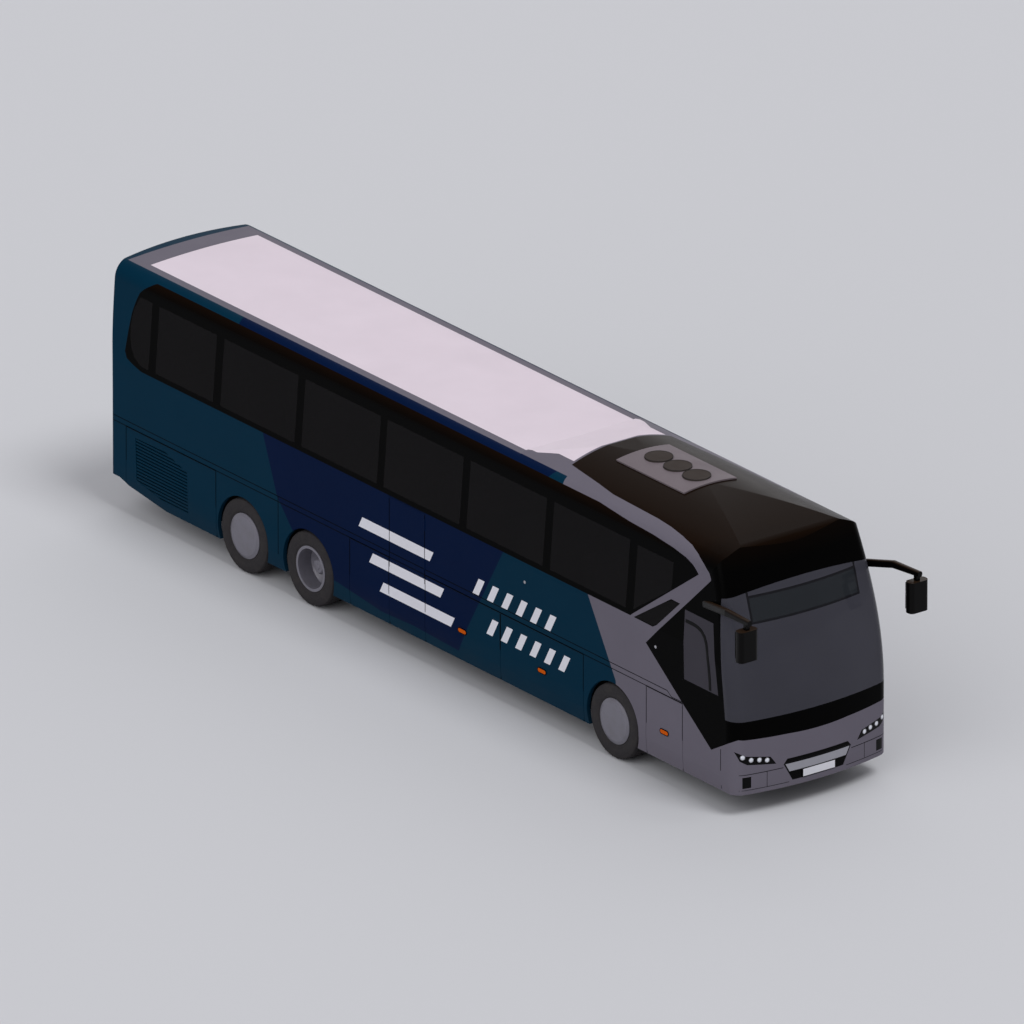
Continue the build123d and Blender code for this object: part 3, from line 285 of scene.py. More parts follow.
def livery():
    """Body paint: teal, navy and silver fields, black glazing surround with a painted brown highlight where
    it faces up, white roof.
    """
    shade = Shade("body_livery")
    x, y, z = shade.axes()
    normal = shade.axes("Normal")
    station = shade.math("SUBTRACT", x, AXLE_X)
    aside = shade.math("ABSOLUTE", y)
    on_side = shade.more(aside, ROOF_EDGE_Y)

    navy = shade.all(
        shade.more(station, shade.line(z, NAVY_REAR)),
        shade.less(station, shade.line(z, NAVY_FRONT)),
        shade.more(z, shade.line(station, STRIP_TOP)),
    )
    colour = shade.mix(navy, TEAL, NAVY)
    colour = shade.mix(shade.more(station, shade.line(z, SILVER_REAR)), colour, SILVER)

    def slanted(rear, low_z):
        """How far a point lies ahead of a slanted rear edge."""
        slant = shade.math("MULTIPLY", shade.math("SUBTRACT", z, low_z), BAR_SLANT)
        return shade.math("SUBTRACT", shade.math("SUBTRACT", station, rear), slant)

    for rear, low_z, length, rise in BARS:
        along = slanted(rear, low_z)
        bar = shade.all(shade.within(along, 0.0, length), shade.within(z, low_z, low_z + rise))
        colour = shade.mix(bar, colour, BAR_PALE)
    for rear, low_z, rise, count in DASH_ROWS:
        along = slanted(rear, low_z)
        row = shade.all(shade.within(along, 0.0, count * DASH_PITCH), shade.within(z, low_z, low_z + rise))
        dash = shade.less(shade.math("MODULO", along, DASH_PITCH), DASH_LENGTH)
        colour = shade.mix(shade.all(row, dash, on_side), colour, BAR_PALE)

    panel = shade.all(
        shade.more(z, ROOF_PANEL_Z),
        shade.less(aside, ROOF_EDGE_Y),
        shade.within(station, *ROOF_PANEL),
    )
    colour = shade.mix(panel, colour, SILVER)
    inner = shade.less(aside, shade.line(station, WHITE_HALF))
    white = shade.all(panel, inner, shade.within(station, *ends_of(WHITE_HALF)))
    colour = shade.mix(white, colour, WHITE)

    band = shade.all(
        shade.less(z, shade.line(station, BAND_TOP)),
        shade.more(z, shade.line(station, BAND_LOW)),
        shade.within(station, *ends_of(BAND_LOW)),
        on_side,
    )
    cap = shade.all(
        shade.more(z, shade.line(station, CAP_LOW)),
        shade.within(station, CAP_LOW[0][0], CAP_FRONT),
    )
    nose = shade.all(
        shade.less(z, shade.line(station, NOSE_TOP)),
        shade.more(z, shade.line(station, NOSE_LOW)),
        shade.more(station, NOSE_TOP[0][0]),
    )
    stripe_window = shade.all(
        shade.less(z, shade.line(station, STRIPE_WINDOW_TOP)),
        shade.more(z, shade.line(station, STRIPE_WINDOW_LOW)),
        shade.within(station, *ends_of(STRIPE_WINDOW_TOP)),
    )
    black = shade.any(band, cap, nose, stripe_window)
    # Painted highlight: the black turns brown where it faces the sky, as light from above would show it, on
    # the nose only near its crown.
    rise = shade.math("SUBTRACT", z, shade.ramp(station, *HIGHLIGHT_FOOT))
    painted_highlight = shade.all(
        shade.ramp(rise, (0.0, HIGHLIGHT_FADE), (0.0, 1.0)),
        shade.ramp(normal[2], (0.15, 0.85), (0.0, 1.0)),
    )
    colour = shade.mix(black, colour, shade.mix(painted_highlight, BLACK, PAINTED_HIGHLIGHT_BROWN))
    bead = shade.all(shade.more(aside, HALF_WIDTH + 0.0004), shade.within(z, *BEAD_Z))
    colour = shade.mix(bead, colour, SEAM_BLACK)

    # Faces that look into the coach are trimmed in grey, on the side walls, ends and ceiling.
    inward = shade.math("MULTIPLY", normal[1], shade.math("SIGN", y))
    inside = shade.any(
        shade.all(shade.less(inward, -0.6), on_side),
        shade.all(shade.less(normal[2], -0.6), shade.more(z, CEILING_Z)),
        shade.all(shade.more(normal[0], 0.7), shade.less(station, REAR_LINING)),
        shade.all(shade.less(normal[0], -0.7), shade.more(station, FRONT_LINING)),
    )
    colour = shade.mix(inside, colour, TRIM_GREY)

    marker_masks, rim_masks = [], []
    for place in MARKER_STATIONS:
        away = shade.math("ABSOLUTE", shade.math("SUBTRACT", station, place))
        across = shade.math("MAXIMUM", shade.math("SUBTRACT", away, MARKER_HALF), 0.0)
        up = shade.math("SUBTRACT", z, MARKER_Z)
        squares = shade.math("ADD", shade.math("POWER", across, 2.0), shade.math("MULTIPLY", up, up))
        reach = shade.math("SQRT", squares)
        proud = shade.more(aside, HALF_WIDTH + 0.001)
        marker_masks.append(shade.all(shade.less(reach, MARKER_RADIUS), proud))
        rim_masks.append(shade.all(shade.less(reach, MARKER_RIM), proud))
    colour = shade.mix(shade.any(*rim_masks), colour, BLACK)
    colour = shade.mix(shade.any(*marker_masks), colour, AMBER)

    # Road film on the skirt.
    film = shade.all(shade.ramp(z, (0.30, 0.75), (0.16, 0.0)), shade.noise(2.2, 5.0, (1.0, 1.0, 3.0)))
    colour = shade.mix(film, colour, ROAD_DUST)
    rough = shade.ramp(shade.any(black, *rim_masks), (0.0, 1.0), (0.34, 0.2))
    finish_paint(shade, colour, shade.math("ADD", rough, shade.math("MULTIPLY", inside, 0.4)), 0.025, 45.0)
    shade.set(Specular_IOR_Level=0.02)
    return shade.material


def tyre_rubber():
    """Matt rubber with patches of browner dust."""
    shade = Shade("tyre_rubber_worn")
    dust = shade.noise(9.0, 6.0)
    dusty = shade.ramp(dust, (0.45, 0.75), (0.0, 0.35))
    colour = shade.mix(dusty, linear(46, 44, 46), linear(62, 58, 55))
    shade.set(Base_Color=colour, Roughness=shade.ramp(shade.noise(30.0), (0.3, 0.7), (0.72, 0.9)))
    shade.set(Specular_IOR_Level=0.2)
    shade.bump(shade.noise(260.0, 3.0), 0.0006, 0.5)
    return shade.material


def wheel_paint():
    """Silver wheel lacquer with patches of road dust."""
    shade = Shade("wheel_silver")
    dusty = shade.ramp(shade.noise(7.0, 5.0), (0.45, 0.8), (0.0, 0.3))
    colour = shade.mix(dusty, linear(116, 114, 124), linear(90, 86, 83))
    shade.set(Base_Color=colour, Metallic=0.2)
    shade.set(Roughness=shade.ramp(shade.noise(40.0), (0.3, 0.7), (0.3, 0.42)))
    shade.bump(shade.noise(300.0), 0.0003, 0.3)
    return shade.material


def seat_fabric():
    """Navy plush with a woven grid and scattered paler threads."""
    shade = Shade("seat_plush")
    weave = shade.nodes.new("ShaderNodeTexChecker")
    weave.inputs["Scale"].default_value = 140.0
    shade.links.new(shade.coordinates.outputs["Object"], weave.inputs["Vector"])
    flecks = shade.ramp(shade.noise(85.0, 2.0), (0.56, 0.66), (0.0, 1.0))
    base = shade.mix(weave.outputs["Fac"], linear(26, 42, 84), linear(34, 52, 98))
    shade.set(Base_Color=shade.mix(flecks, base, linear(120, 128, 150)), Roughness=0.9)
    shade.set(Sheen_Weight=0.35, Sheen_Roughness=0.5)
    shade.bump(weave.outputs["Fac"], 0.0008, 0.6)
    return shade.material


def glass(shade, colour, alpha, specular):
    """Gives a shader tinted glass, partly see-through, with faint streaks in its gloss."""
    clouds = shade.ramp(shade.noise(0.8, 2.0), (0.3, 0.7), (0.93, 1.07))
    shade.set(Base_Color=shade.scale(colour, clouds))
    shade.set(Roughness=shade.ramp(shade.noise(2.5, 5.0), (0.35, 0.75), (0.04, 0.08)))
    shade.set(Alpha=alpha, Specular_IOR_Level=specular)
    return shade.material


SIGN_HALF, SIGN_LOW, SIGN_TOP, SIGN_BORDER = 0.86, 2.632, 2.93, 0.032


def windscreen_glass():
    """Grey windscreen with the border of the destination sign printed on it, its display blank."""
    shade = Shade("windscreen_glass")
    _, y, z = shade.axes()
    aside = shade.math("ABSOLUTE", y)
    display = shade.all(shade.less(aside, SIGN_HALF), shade.within(z, SIGN_LOW, SIGN_TOP))
    uprights = shade.all(
        shade.within(aside, SIGN_HALF, SIGN_HALF + SIGN_BORDER),
        shade.more(z, SIGN_LOW - SIGN_BORDER),
    )
    level = shade.any(
        shade.within(z, SIGN_LOW - SIGN_BORDER, SIGN_LOW),
        shade.within(z, SIGN_TOP, SIGN_TOP + SIGN_BORDER),
    )
    rails = shade.all(shade.less(aside, SIGN_HALF + SIGN_BORDER), level)
    colour = shade.mix(display, linear(63, 63, 71), linear(41, 44, 48))
    return glass(shade, shade.mix(shade.any(uprights, rails), colour, linear(28, 28, 32)), 0.9, 0.1)


# Paler panes: ahead of the first station, on the left ahead of the second one, and below this height.
CAB_GLASS, DOOR_GLASS, CAB_GLASS_TOP = 1.45, 1.2, 2.6


def side_glass():
    """Dark privacy glass, with paler panes beside the driver and in the passenger door."""
    shade = Shade("side_glass")
    x, y, z = shade.axes()
    door = shade.all(shade.more(y, 0.0), shade.more(x, at(DOOR_GLASS)))
    beside = shade.any(shade.more(x, at(CAB_GLASS)), door)
    cab = shade.all(beside, shade.less(z, CAB_GLASS_TOP))
    return glass(shade, shade.mix(cab, linear(19, 18, 19), linear(62, 60, 67)), 0.94, 0.03)


AMBER_FIELD, CLEAR_FIELD = (1.20, 1.34), (0.98, 1.08)


def tail_lamp_plastic():
    """Lamp mouldings: black at the front, red, amber and clear fields at the rear."""
    shade = Shade("lamp_mouldings")
    x, y, z = shade.axes()
    rear = shade.less(x, 0.0)
    amber = shade.within(z, *AMBER_FIELD)
    clear = shade.within(z, *CLEAR_FIELD)
    colour = shade.mix(amber, linear(150, 12, 14), linear(210, 104, 18))
    colour = shade.mix(clear, colour, linear(205, 205, 208))
    edges = shade.any(*[shade.within(z, edge - 0.006, edge + 0.006) for edge in CLEAR_FIELD + AMBER_FIELD])
    colour = shade.mix(edges, colour, linear(25, 4, 5))
    shade.set(Base_Color=shade.mix(rear, linear(5, 5, 6), colour))
    shade.set(Roughness=shade.ramp(shade.noise(12.0), (0.3, 0.7), (0.08, 0.16)), Specular_IOR_Level=0.1)
    ribs = shade.math("SINE", shade.math("MULTIPLY", y, 420.0))
    shade.bump(shade.math("MULTIPLY", ribs, rear), 0.0012, 0.5)
    return shade.material


# Silver bar of the grille: heights, half length at the top, and how fast that shrinks downward.
BAR_Z, BAR_HALF, BAR_TAPER = (0.5215, 0.6335), 0.527, 0.56


def grille_plastic():
    """Black grille moulding with a silver bar across it."""
    shade = Shade("grille_moulding")
    _, y, z = shade.axes()
    taper = shade.math("MULTIPLY", shade.math("SUBTRACT", 0.634, z), BAR_TAPER)
    edge = shade.math("SUBTRACT", BAR_HALF, taper)
    bar = shade.all(shade.within(z, *BAR_Z), shade.less(shade.math("ABSOLUTE", y), edge))
    front = shade.more(shade.axes("Normal")[0], 0.5)
    colour = shade.mix(shade.all(bar, front), linear(6, 6, 7), linear(150, 150, 158))
    finish_paint(shade, colour, 0.28)
    shade.set(Specular_IOR_Level=0.1)
    return shade.material


def mirror_plastic():
    """Gloss black arms and heads, with a painted brown highlight where they face the sky."""
    shade = Shade("mirror_moulding")
    up = shade.axes("Normal")[2]
    # Painted highlight: brown on the faces turned up to the sky.
    highlight_mask = shade.ramp(up, (0.3, 0.95), (0.0, 1.0))
    finish_paint(shade, shade.mix(highlight_mask, linear(4, 3, 3), linear(40, 28, 19)), 0.3)
    shade.set(Specular_IOR_Level=0.1)
    return shade.material


def hatch_paint():
    """Silver roof panel with three dark mesh discs."""
    shade = Shade("hatch_panel")
    x, y, _ = shade.axes()
    discs = []
    for place in VENT_STATIONS:
        away = shade.math("SUBTRACT", x, at(place))
        reach = shade.math("ADD", shade.math("MULTIPLY", away, away), shade.math("MULTIPLY", y, y))
        discs.append(shade.less(reach, (VENT_RADIUS + 0.0005) ** 2))
    disc = shade.any(*discs)
    colour = shade.mix(disc, linear(110, 101, 106), linear(62, 56, 53))
    finish_paint(shade, colour, shade.ramp(disc, (0.0, 1.0), (0.4, 0.75)))
    shade.set(Specular_IOR_Level=0.05)
    return shade.material


LIVERY = livery()
RUBBER = tyre_rubber()
WHEEL = wheel_paint()
PLUSH = seat_fabric()
DARK_PAINT = plain("underbody_paint", linear(34, 33, 34), 0.75, wear=0.25)
BLACK_GLOSS = plain("gloss_black", linear(4, 4, 4), 0.3, wear=0.1, Specular_IOR_Level=0.05)
BLACK_TRIM = plain("black_trim", linear(7, 7, 8), 0.5, Specular_IOR_Level=0.1)
SEAM = plain("seam_black", SEAM_BLACK, 0.8, Specular_IOR_Level=0.05)
CAB_PLASTIC = plain("cab_moulding", linear(42, 42, 46), 0.62, grain=400.0)
STEEL = plain("bright_steel", linear(160, 160, 166), 0.3, 0.3)
FLOORING = plain("ribbed_flooring", linear(62, 64, 70), 0.8, wear=0.2, grain=300.0)
IRON = plain("cast_iron_rough", linear(74, 72, 70), 0.6, 0.6, wear=0.25, grain=160.0)
CLEAR = windscreen_glass()
DARK_GLASS = side_glass()
LENS = plain("lamp_lens", linear(228, 231, 240), 0.12, 0.2, wear=0.03)
PLATE_WHITE = plain("plate_white", linear(212, 212, 219), 0.35)
MIRROR_GLASS = plain("mirror_silvered", linear(200, 205, 212), 0.03, 1.0, wear=0.01, grain=5.0)

PAINTED = ["side_wall_right", "side_wall_left", "roof", "front_dome", "front_panel", "front_bumper"]
PAINTED += ["rear_wall", "emergency_door", "engine_lid", "passenger_door"]
PAINTED += [name for name in NODES if "flap" in name]
LOOKS = {name: LIVERY for name in PAINTED}
LOOKS |= {name: WHEEL for name in NODES if "_rim" in name}
LOOKS |= {name: DARK_PAINT for name in NODES if "axle" in name or "knuckle" in name}
LOOKS |= {"luggage_bay": DARK_PAINT, "wheel_houses": BLACK_TRIM, "chassis_rails": DARK_PAINT}
LOOKS |= {"mirrors": mirror_plastic(), "front_grille": grille_plastic(), "roof_hatch": hatch_paint()}
LOOKS |= {"windscreen": CLEAR, "window_glass": DARK_GLASS, "saloon_floor": FLOORING, "cab_floor": FLOORING}
LOOKS |= {"dashboard": CAB_PLASTIC, "steering_wheel": BLACK_TRIM, "engine": IRON}
LOOKS |= {"lamps": tail_lamp_plastic(), "destination_sign": BLACK_TRIM}
for name, node in NODES.items():
    node.data.materials.clear()
    node.data.materials.append(LOOKS.get(name, RUBBER if "tyre" in name else PLUSH))


# ---------------------------------------------------------------- making pieces
def piece(name, vertices, faces, material, body="coach", smooth=False):
    """A mesh object that rides on a body."""
    mesh = bpy.data.meshes.new(name)
    mesh.from_pydata([tuple(v) for v in vertices], [], faces)
    mesh.materials.append(material)
    shaped = bmesh.new()
    shaped.from_mesh(mesh)
    bmesh.ops.recalc_face_normals(shaped, faces=shaped.faces)
    shaped.to_mesh(mesh)
    shaped.free()
    for polygon in mesh.polygons:
        polygon.use_smooth = smooth
    made = bpy.data.objects.new(name, mesh)
    bpy.context.scene.collection.objects.link(made)
    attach(made, body)
    return made


class Build:
    """Vertices and faces gathered from several closed forms."""

    def __init__(self):
        self.vertices, self.faces = [], []

    def add(self, vertices, faces):
        """Adds one form."""
        start = len(self.vertices)
        self.vertices += [Vector(v) for v in vertices]
        self.faces += [[start + i for i in face] for face in faces]

    def tube(self, rings, closed=False):
        """Skin through rings of as many points each, capped unless it closes on itself."""
        count = len(rings[0])
        vertices = [p for one in rings for p in one]
        steps = len(rings) if closed else len(rings) - 1
        faces = []
        for i in range(steps):
            j = (i + 1) % len(rings)
            for k in range(count):
                m = (k + 1) % count
                faces.append([i * count + k, i * count + m, j * count + m, j * count + k])
        if not closed:
            faces.append(list(range(count)))
            faces.append([(len(rings) - 1) * count + k for k in range(count)])
        self.add(vertices, faces)

    def box(self, low_corner, high_corner):
        """A box between two corners."""
        (x0, y0, z0), (x1, y1, z1) = low_corner, high_corner
        rings = [[(x, y0, z0), (x, y1, z0), (x, y1, z1), (x, y0, z1)] for x in (x0, x1)]
        self.tube(rings)

    def lathe(self, centre, axis, profile, count=24):
        """A closed turned form from (along, radius) points round an axis."""
        axis = Vector(axis).normalized()
        first = axis.orthogonal().normalized()
        second = axis.cross(first)
        rings = []
        for along, radius in profile:
            ring = []
            for k in range(count):
                turn = 2 * pi * k / count
                out = first * cos(turn) + second * sin(turn)
                ring.append(Vector(centre) + axis * along + out * max(radius, 0.0004))
            rings.append(ring)
        self.tube(rings)

    def make(self, name, material, body="coach", smooth=False, bevel=0.0):
        """Turns what was gathered into a piece."""
        made = piece(name, self.vertices, self.faces, material, body, smooth)
        if bevel:
            rounding = made.modifiers.new("rounding", "BEVEL")
            rounding.width = bevel
            rounding.segments = 2
            rounding.limit_method = "ANGLE"
        return made


def surface_tree(*names):
    """Search tree of the faces of CAD nodes."""
    vertices, faces = [], []
    for name in names:
        mesh = NODES[name].data
        start = len(vertices)
        vertices += [v.co for v in mesh.vertices]
        faces += [[start + i for i in p.vertices] for p in mesh.polygons]
    return BVHTree.FromPolygons(vertices, faces)


def hit(tree, start, direction):
    """Point and outward normal where a ray meets a surface, or None."""
    point, normal, _, _ = tree.ray_cast(Vector(start), Vector(direction))
    if point is None:
        return None
    return point, normal


# ---------------------------------------------------------------- tyres
TYRE_PROFILE = [
    (0.1145, 0.2865), (0.1165, 0.300), (0.1175, 0.318), (0.124, 0.328), (0.1325, 0.345), (0.1355, 0.350),
    (0.1345, 0.354), (0.1395, 0.372), (0.1445, 0.395), (0.1472, 0.412), (0.1462, 0.440), (0.1435, 0.462),
    (0.1415, 0.466), (0.1420, 0.470), (0.1375, 0.485), (0.1315, 0.500),
]
CROWN_RADIUS, CROWN_DROP, TREAD_HALF = 0.5215, 0.0075, 0.112
SHOULDER_OUT, SHOULDER_RADIUS = 0.126, 0.508
GROOVE_HALF, GROOVE_SLOPE, GROOVE_DEPTH = 0.0055, 0.002, 0.013
GROOVES = (-0.068, -0.0235, 0.0235, 0.068)
TYRE_STEPS, NOTCH_EVERY, NOTCH_DEPTH = 120, 3, 0.009


def crown(out):
    """Radius of the tread at a distance from the tyre's middle plane."""
    return CROWN_RADIUS - CROWN_DROP * (out / TREAD_HALF) ** 2


def tread_profile():
    """Tread points (out, radius, 1 on a shoulder) with four grooves round the tyre."""
    points = [(-SHOULDER_OUT, SHOULDER_RADIUS, 1), (-TREAD_HALF, crown(-TREAD_HALF), 1)]
    for groove in GROOVES:
        left, right = groove - GROOVE_HALF, groove + GROOVE_HALF
        deep = crown(groove) - GROOVE_DEPTH
        points += [(left, crown(left), 0), (left + GROOVE_SLOPE, deep, 0)]
        points += [(right - GROOVE_SLOPE, deep, 0), (right, crown(right), 0)]
    return points + [(TREAD_HALF, crown(TREAD_HALF), 1), (SHOULDER_OUT, SHOULDER_RADIUS, 1)]


def tyre_form(build, axle, middle):
    """One tyre round its middle plane, with grooves and notched shoulders."""
    outward = [(out, radius, 0) for out, radius in TYRE_PROFILE]
    inward = [(-out, radius, 0) for out, radius in TYRE_PROFILE]
    profile = inward + tread_profile() + outward[::-1]
    rings = []
    for step in range(TYRE_STEPS):
        turn = 2 * pi * step / TYRE_STEPS
        notch = NOTCH_DEPTH if step % NOTCH_EVERY == 0 else 0.0
        ring = []
        for out, radius, shoulder in profile:
            reach = radius - notch * shoulder
            ring.append((at(axle) + reach * sin(turn), middle + out, AXLE_Z + reach * cos(turn)))
        rings.append(ring)
    build.tube(rings, closed=True)


WHEEL_Y, TWIN_Y = 1.1145, 0.7795
# Tyres of each node: axle and middle planes.
TYRES = {
    "front_tyre": (0.0, (WHEEL_Y,)),
    "drive_tyres": (DRIVE_AXLE, (WHEEL_Y, TWIN_Y)),
    "tag_tyre": (TAG_AXLE, (WHEEL_Y,)),
}
for hand, side in SIDES:
    for name, (axle, tyres) in TYRES.items():
        build = Build()
        for middle in tyres:
            tyre_form(build, axle, side * middle)
        body = name.split("_")[0] + "_wheel_" + hand
        dressed = build.make(f"{name}_{hand}_treaded", RUBBER, body, smooth=True)
        split = dressed.modifiers.new("edges", "EDGE_SPLIT")
        split.split_angle = radians(32)
        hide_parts(f"{name}_{hand}")

# ---------------------------------------------------------------- wheel nuts and hub details
# Turned profiles (along, radius): a nut, the flat nut of a covered wheel, and the cap on the drive hub.
NUT = [(0.0, 0.016), (0.02, 0.016), (0.024, 0.012)]
FLAT_NUT = [(0.0, 0.009), (0.002, 0.009), (0.003, 0.006)]
HUB_CAP = [(0.0, 0.093), (0.004, 0.093), (0.01, 0.086), (0.012, 0.04), (0.018, 0.036), (0.02, 0.0)]
# Nuts of each wheel: its rim's node, axle, radius of their circle, how many, profile, sides of one nut.
FIXINGS = {
    "drive": ("drive_rims", DRIVE_AXLE, 0.1675, 10, NUT, 6),
    "front": ("front_rim", 0.0, 0.235, 12, FLAT_NUT, 12),
    "tag": ("tag_rim", TAG_AXLE, 0.235, 12, FLAT_NUT, 12),
}
for hand, side in SIDES:
    outward = (0, side, 0)
    inward = (0, -side, 0)
    for name, (rim, axle, circle, count, nut, nut_sides) in FIXINGS.items():
        tree = surface_tree(f"{rim}_{hand}")
        build = Build()
        for k in range(count):
            turn = 2 * pi * (k + 0.5) / count
            place = (at(axle) + circle * sin(turn), side * BESIDE_WHEEL, AXLE_Z + circle * cos(turn))
            seat = hit(tree, place, inward)
            if seat:
                build.lathe(seat[0] - Vector((0, side * 0.001, 0)), outward, nut, nut_sides)
        if name == "drive":
            cap = hit(tree, (at(axle) + 0.08, side * BESIDE_WHEEL, AXLE_Z), inward)[0].y
            build.lathe((at(axle), cap - side * 0.002, AXLE_Z), outward, HUB_CAP, 40)
        build.make(f"wheel_fixings_{name}_{hand}", WHEEL, f"{name}_wheel_{hand}")

# ---------------------------------------------------------------- nose: lenses, slats, plate
nose_tree = {name: surface_tree(name) for name in ("lamps", "front_grille", "front_panel", "front_bumper")}


def on_nose(name, y, z):
    """Point and normal on the outside of a nose piece, seen from the front."""
    return hit(nose_tree[name], (at(AHEAD), y, z), (-1, 0, 0))


LENS_PROFILE = [(0.0, 0.027), (0.006, 0.027), (0.011, 0.02), (0.014, 0.009), (0.0145, 0.0)]
BEZEL_PROFILE = [(0.0, 0.035), (0.008, 0.034), (0.009, 0.031), (0.006, 0.028)]
LENS_PLACES = [(1.148, 0.845), (1.031, 0.793), (0.913, 0.776), (0.801, 0.752)]
lens, bezel = Build(), Build()
for side in (-1, 1):
    for y, z in LENS_PLACES:
        seat = on_nose("lamps", side * y, z)
        if seat:
            point, normal = seat
            base = point - normal * 0.004
            lens.lathe(base, normal, LENS_PROFILE)
            bezel.lathe(base, normal, BEZEL_PROFILE)
lens.make("lamp_lenses", LENS)
bezel.make("lamp_bezels", STEEL)


def nose_strip(build, name, y_ends, z_ends, proud, thick, count=16):
    """A strip that follows a nose piece across the coach."""
    low, high = z_ends
    rings = []
    for k in range(count + 1):
        y = y_ends[0] + (y_ends[1] - y_ends[0]) * k / count
        seat = on_nose(name, y, (low + high) / 2)
        if seat is None:
            continue
        front = seat[0].x + proud
        back = front - thick
        rings.append([(front, y, low), (front, y, high), (back, y, high), (back, y, low)])
    build.tube(rings)


# Grille slats: height and half length, above and below the silver bar.
SLATS = [(0.663, 0.515), (0.685, 0.500)]
SLATS += [(0.500, 0.462), (0.478, 0.452), (0.456, 0.442), (0.434, 0.432), (0.412, 0.422)]
slats = Build()
for z, half in SLATS:
    nose_strip(slats, "front_grille", (-half, half), (z - 0.004, z + 0.004), 0.006, 0.007)
slats.make("grille_slats", BLACK_GLOSS)

PLATE_HALF, PLATE_LOW, PLATE_TOP, HOLDER_EDGE = 0.26, 0.409, 0.511, 0.008
plate, holder = Build(), Build()
plate_x = on_nose("front_grille", 0.0, 0.50)[0].x
holder.box(
    (plate_x + 0.001, -PLATE_HALF - HOLDER_EDGE, PLATE_LOW - HOLDER_EDGE),
    (plate_x + 0.014, PLATE_HALF + HOLDER_EDGE, PLATE_TOP + HOLDER_EDGE),
)
plate.box((plate_x + 0.014, -PLATE_HALF, PLATE_LOW), (plate_x + 0.0165, PLATE_HALF, PLATE_TOP))
holder.make("plate_holder", BLACK_TRIM, bevel=0.004)
plate.make("blank_plate", PLATE_WHITE, bevel=0.001)

# Bumper joints: two upright ones, and level ones above and low on the bumper.
JOINT_Y, JOINT_HALF, JOINT_PROUD, JOINT_DEEP = 0.80, 0.003, 0.0015, 0.004
# Level joints: the piece they are on, where they start beside the middle, and their two edges.
LEVEL_JOINTS = [("front_panel", 0.56, (0.590, 0.598)), ("front_bumper", 0.47, (0.374, 0.380))]
joints = Build()
for side in (-1, 1):
    for z0, z1 in ((0.38, 0.55), (0.55, 0.60)):
        ends = []
        for z in (z0, z1):
            x = on_nose("front_bumper", side * JOINT_Y, min(z, 0.585))[0].x
            near, far = side * JOINT_Y - JOINT_HALF, side * JOINT_Y + JOINT_HALF
            back, front = x - 0.003, x + JOINT_PROUD
            ends.append([(back, near, z), (front, near, z), (front, far, z), (back, far, z)])
        joints.tube(ends)
    for name, inner, z_ends in LEVEL_JOINTS:
        nose_strip(joints, name, sorted((side * inner, side * 1.19)), z_ends, JOINT_PROUD, JOINT_DEEP)
joints.make("bumper_joints", SEAM)

# ---------------------------------------------------------------- side trim
side_tree = {name: surface_tree(name) for name in ("window_glass", "side_wall_right", "mirrors")}
side_tree["body"] = surface_tree("side_wall_right", "side_wall_left", "rear_wall", "front_panel")


def on_side(name, side, station, z):
    """Point and normal on the outside of a side piece."""
    return hit(side_tree[name], (at(station), side * BESIDE_BODY, z), (0, -side, 0))


# A ray that ends further in than this went through a hole in the side.
THROUGH_Y = 0.9


def side_ribbon(build, name, side, path, half, proud=0.0015, thick=0.004):
    """A flat strip along (station, z) points on a side. It skips points that lie over a hole."""
    rings = []
    for i, (station, z) in enumerate(path):
        before = Vector(path[max(i - 1, 0)])
        after = Vector(path[min(i + 1, len(path) - 1)])
        along = (after - before).normalized()
        across = Vector((-along.y, along.x)) * half
        ring = []
        for sign, lift in ((-1, proud), (1, proud), (1, proud - thick), (-1, proud - thick)):
            px, pz = station + across.x * sign, z + across.y * sign
            seat = on_side(name, side, px, pz)
            if seat is None or seat[0].y * side < THROUGH_Y:
                break
            ring.append((at(px), seat[0].y + side * lift, pz))
        if len(ring) == 4:
            rings.append(ring)
    if len(rings) > 1:
        build.tube(rings)


# Belt lines and panel joints. The lower line stops at each flap, where the hinge bead takes its place.
BELT_TOP, BELT_FOOT, LINE_HALF = 1.35, 1.2735, 0.005
BELT_ENDS = {-1: (-11.05, 1.169), 1: (-11.05, 2.3)}
# Upright joints of each side: station, top and foot.
PANEL_JOINTS = {
    -1: [(-7.263, 1.35, 0.522), (2.31, 0.90, 0.34)],
    1: [(-7.263, 1.35, 0.522), (-8.629, 1.27, 0.522)],
}
DOORS = {-1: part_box("emergency_door"), 1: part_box("passenger_door")}


def clear_spans(ends, boxes, gap=0.009):
    """Stretches of a line that no box covers, short of each by a gap."""
    spans, start = [], ends[0]
    for box_low, box_high in sorted(boxes, key=lambda box: box[0].x):
        spans.append((start, box_low.x - AXLE_X - gap))
        start = box_high.x - AXLE_X + gap
    return [span for span in (*spans, (start, ends[1])) if span[1] - span[0] > 0.02]


lines = Build()
for side, ends in BELT_ENDS.items():
    hinged = [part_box(name) for name in NODES if "_flap_" in name and ("right" in name) == (side < 0)]
    for z, boxes in ((BELT_TOP, [DOORS[side]]), (BELT_FOOT, [DOORS[side], *hinged])):
        for rear, front in clear_spans(ends, boxes):
            # Close steps round the rear corner.
            corner = [rear + 0.02 * k for k in range(20)] if rear < -11 else [rear]
            side_ribbon(lines, "body", side, [(station, z) for station in (*corner, front)], LINE_HALF)
    for station, top, foot in PANEL_JOINTS[side]:
        upright = [(station, z) for z in (foot, (top + foot) / 2, top)]
        side_ribbon(lines, "body", side, upright, LINE_HALF)
# The upper line's kinked end in front of the right front flap.
side_ribbon(lines, "body", -1, [(1.169, BELT_TOP), (1.26, 1.289), (1.485, 1.289)], LINE_HALF)
lines.make("belt_lines", SEAM)

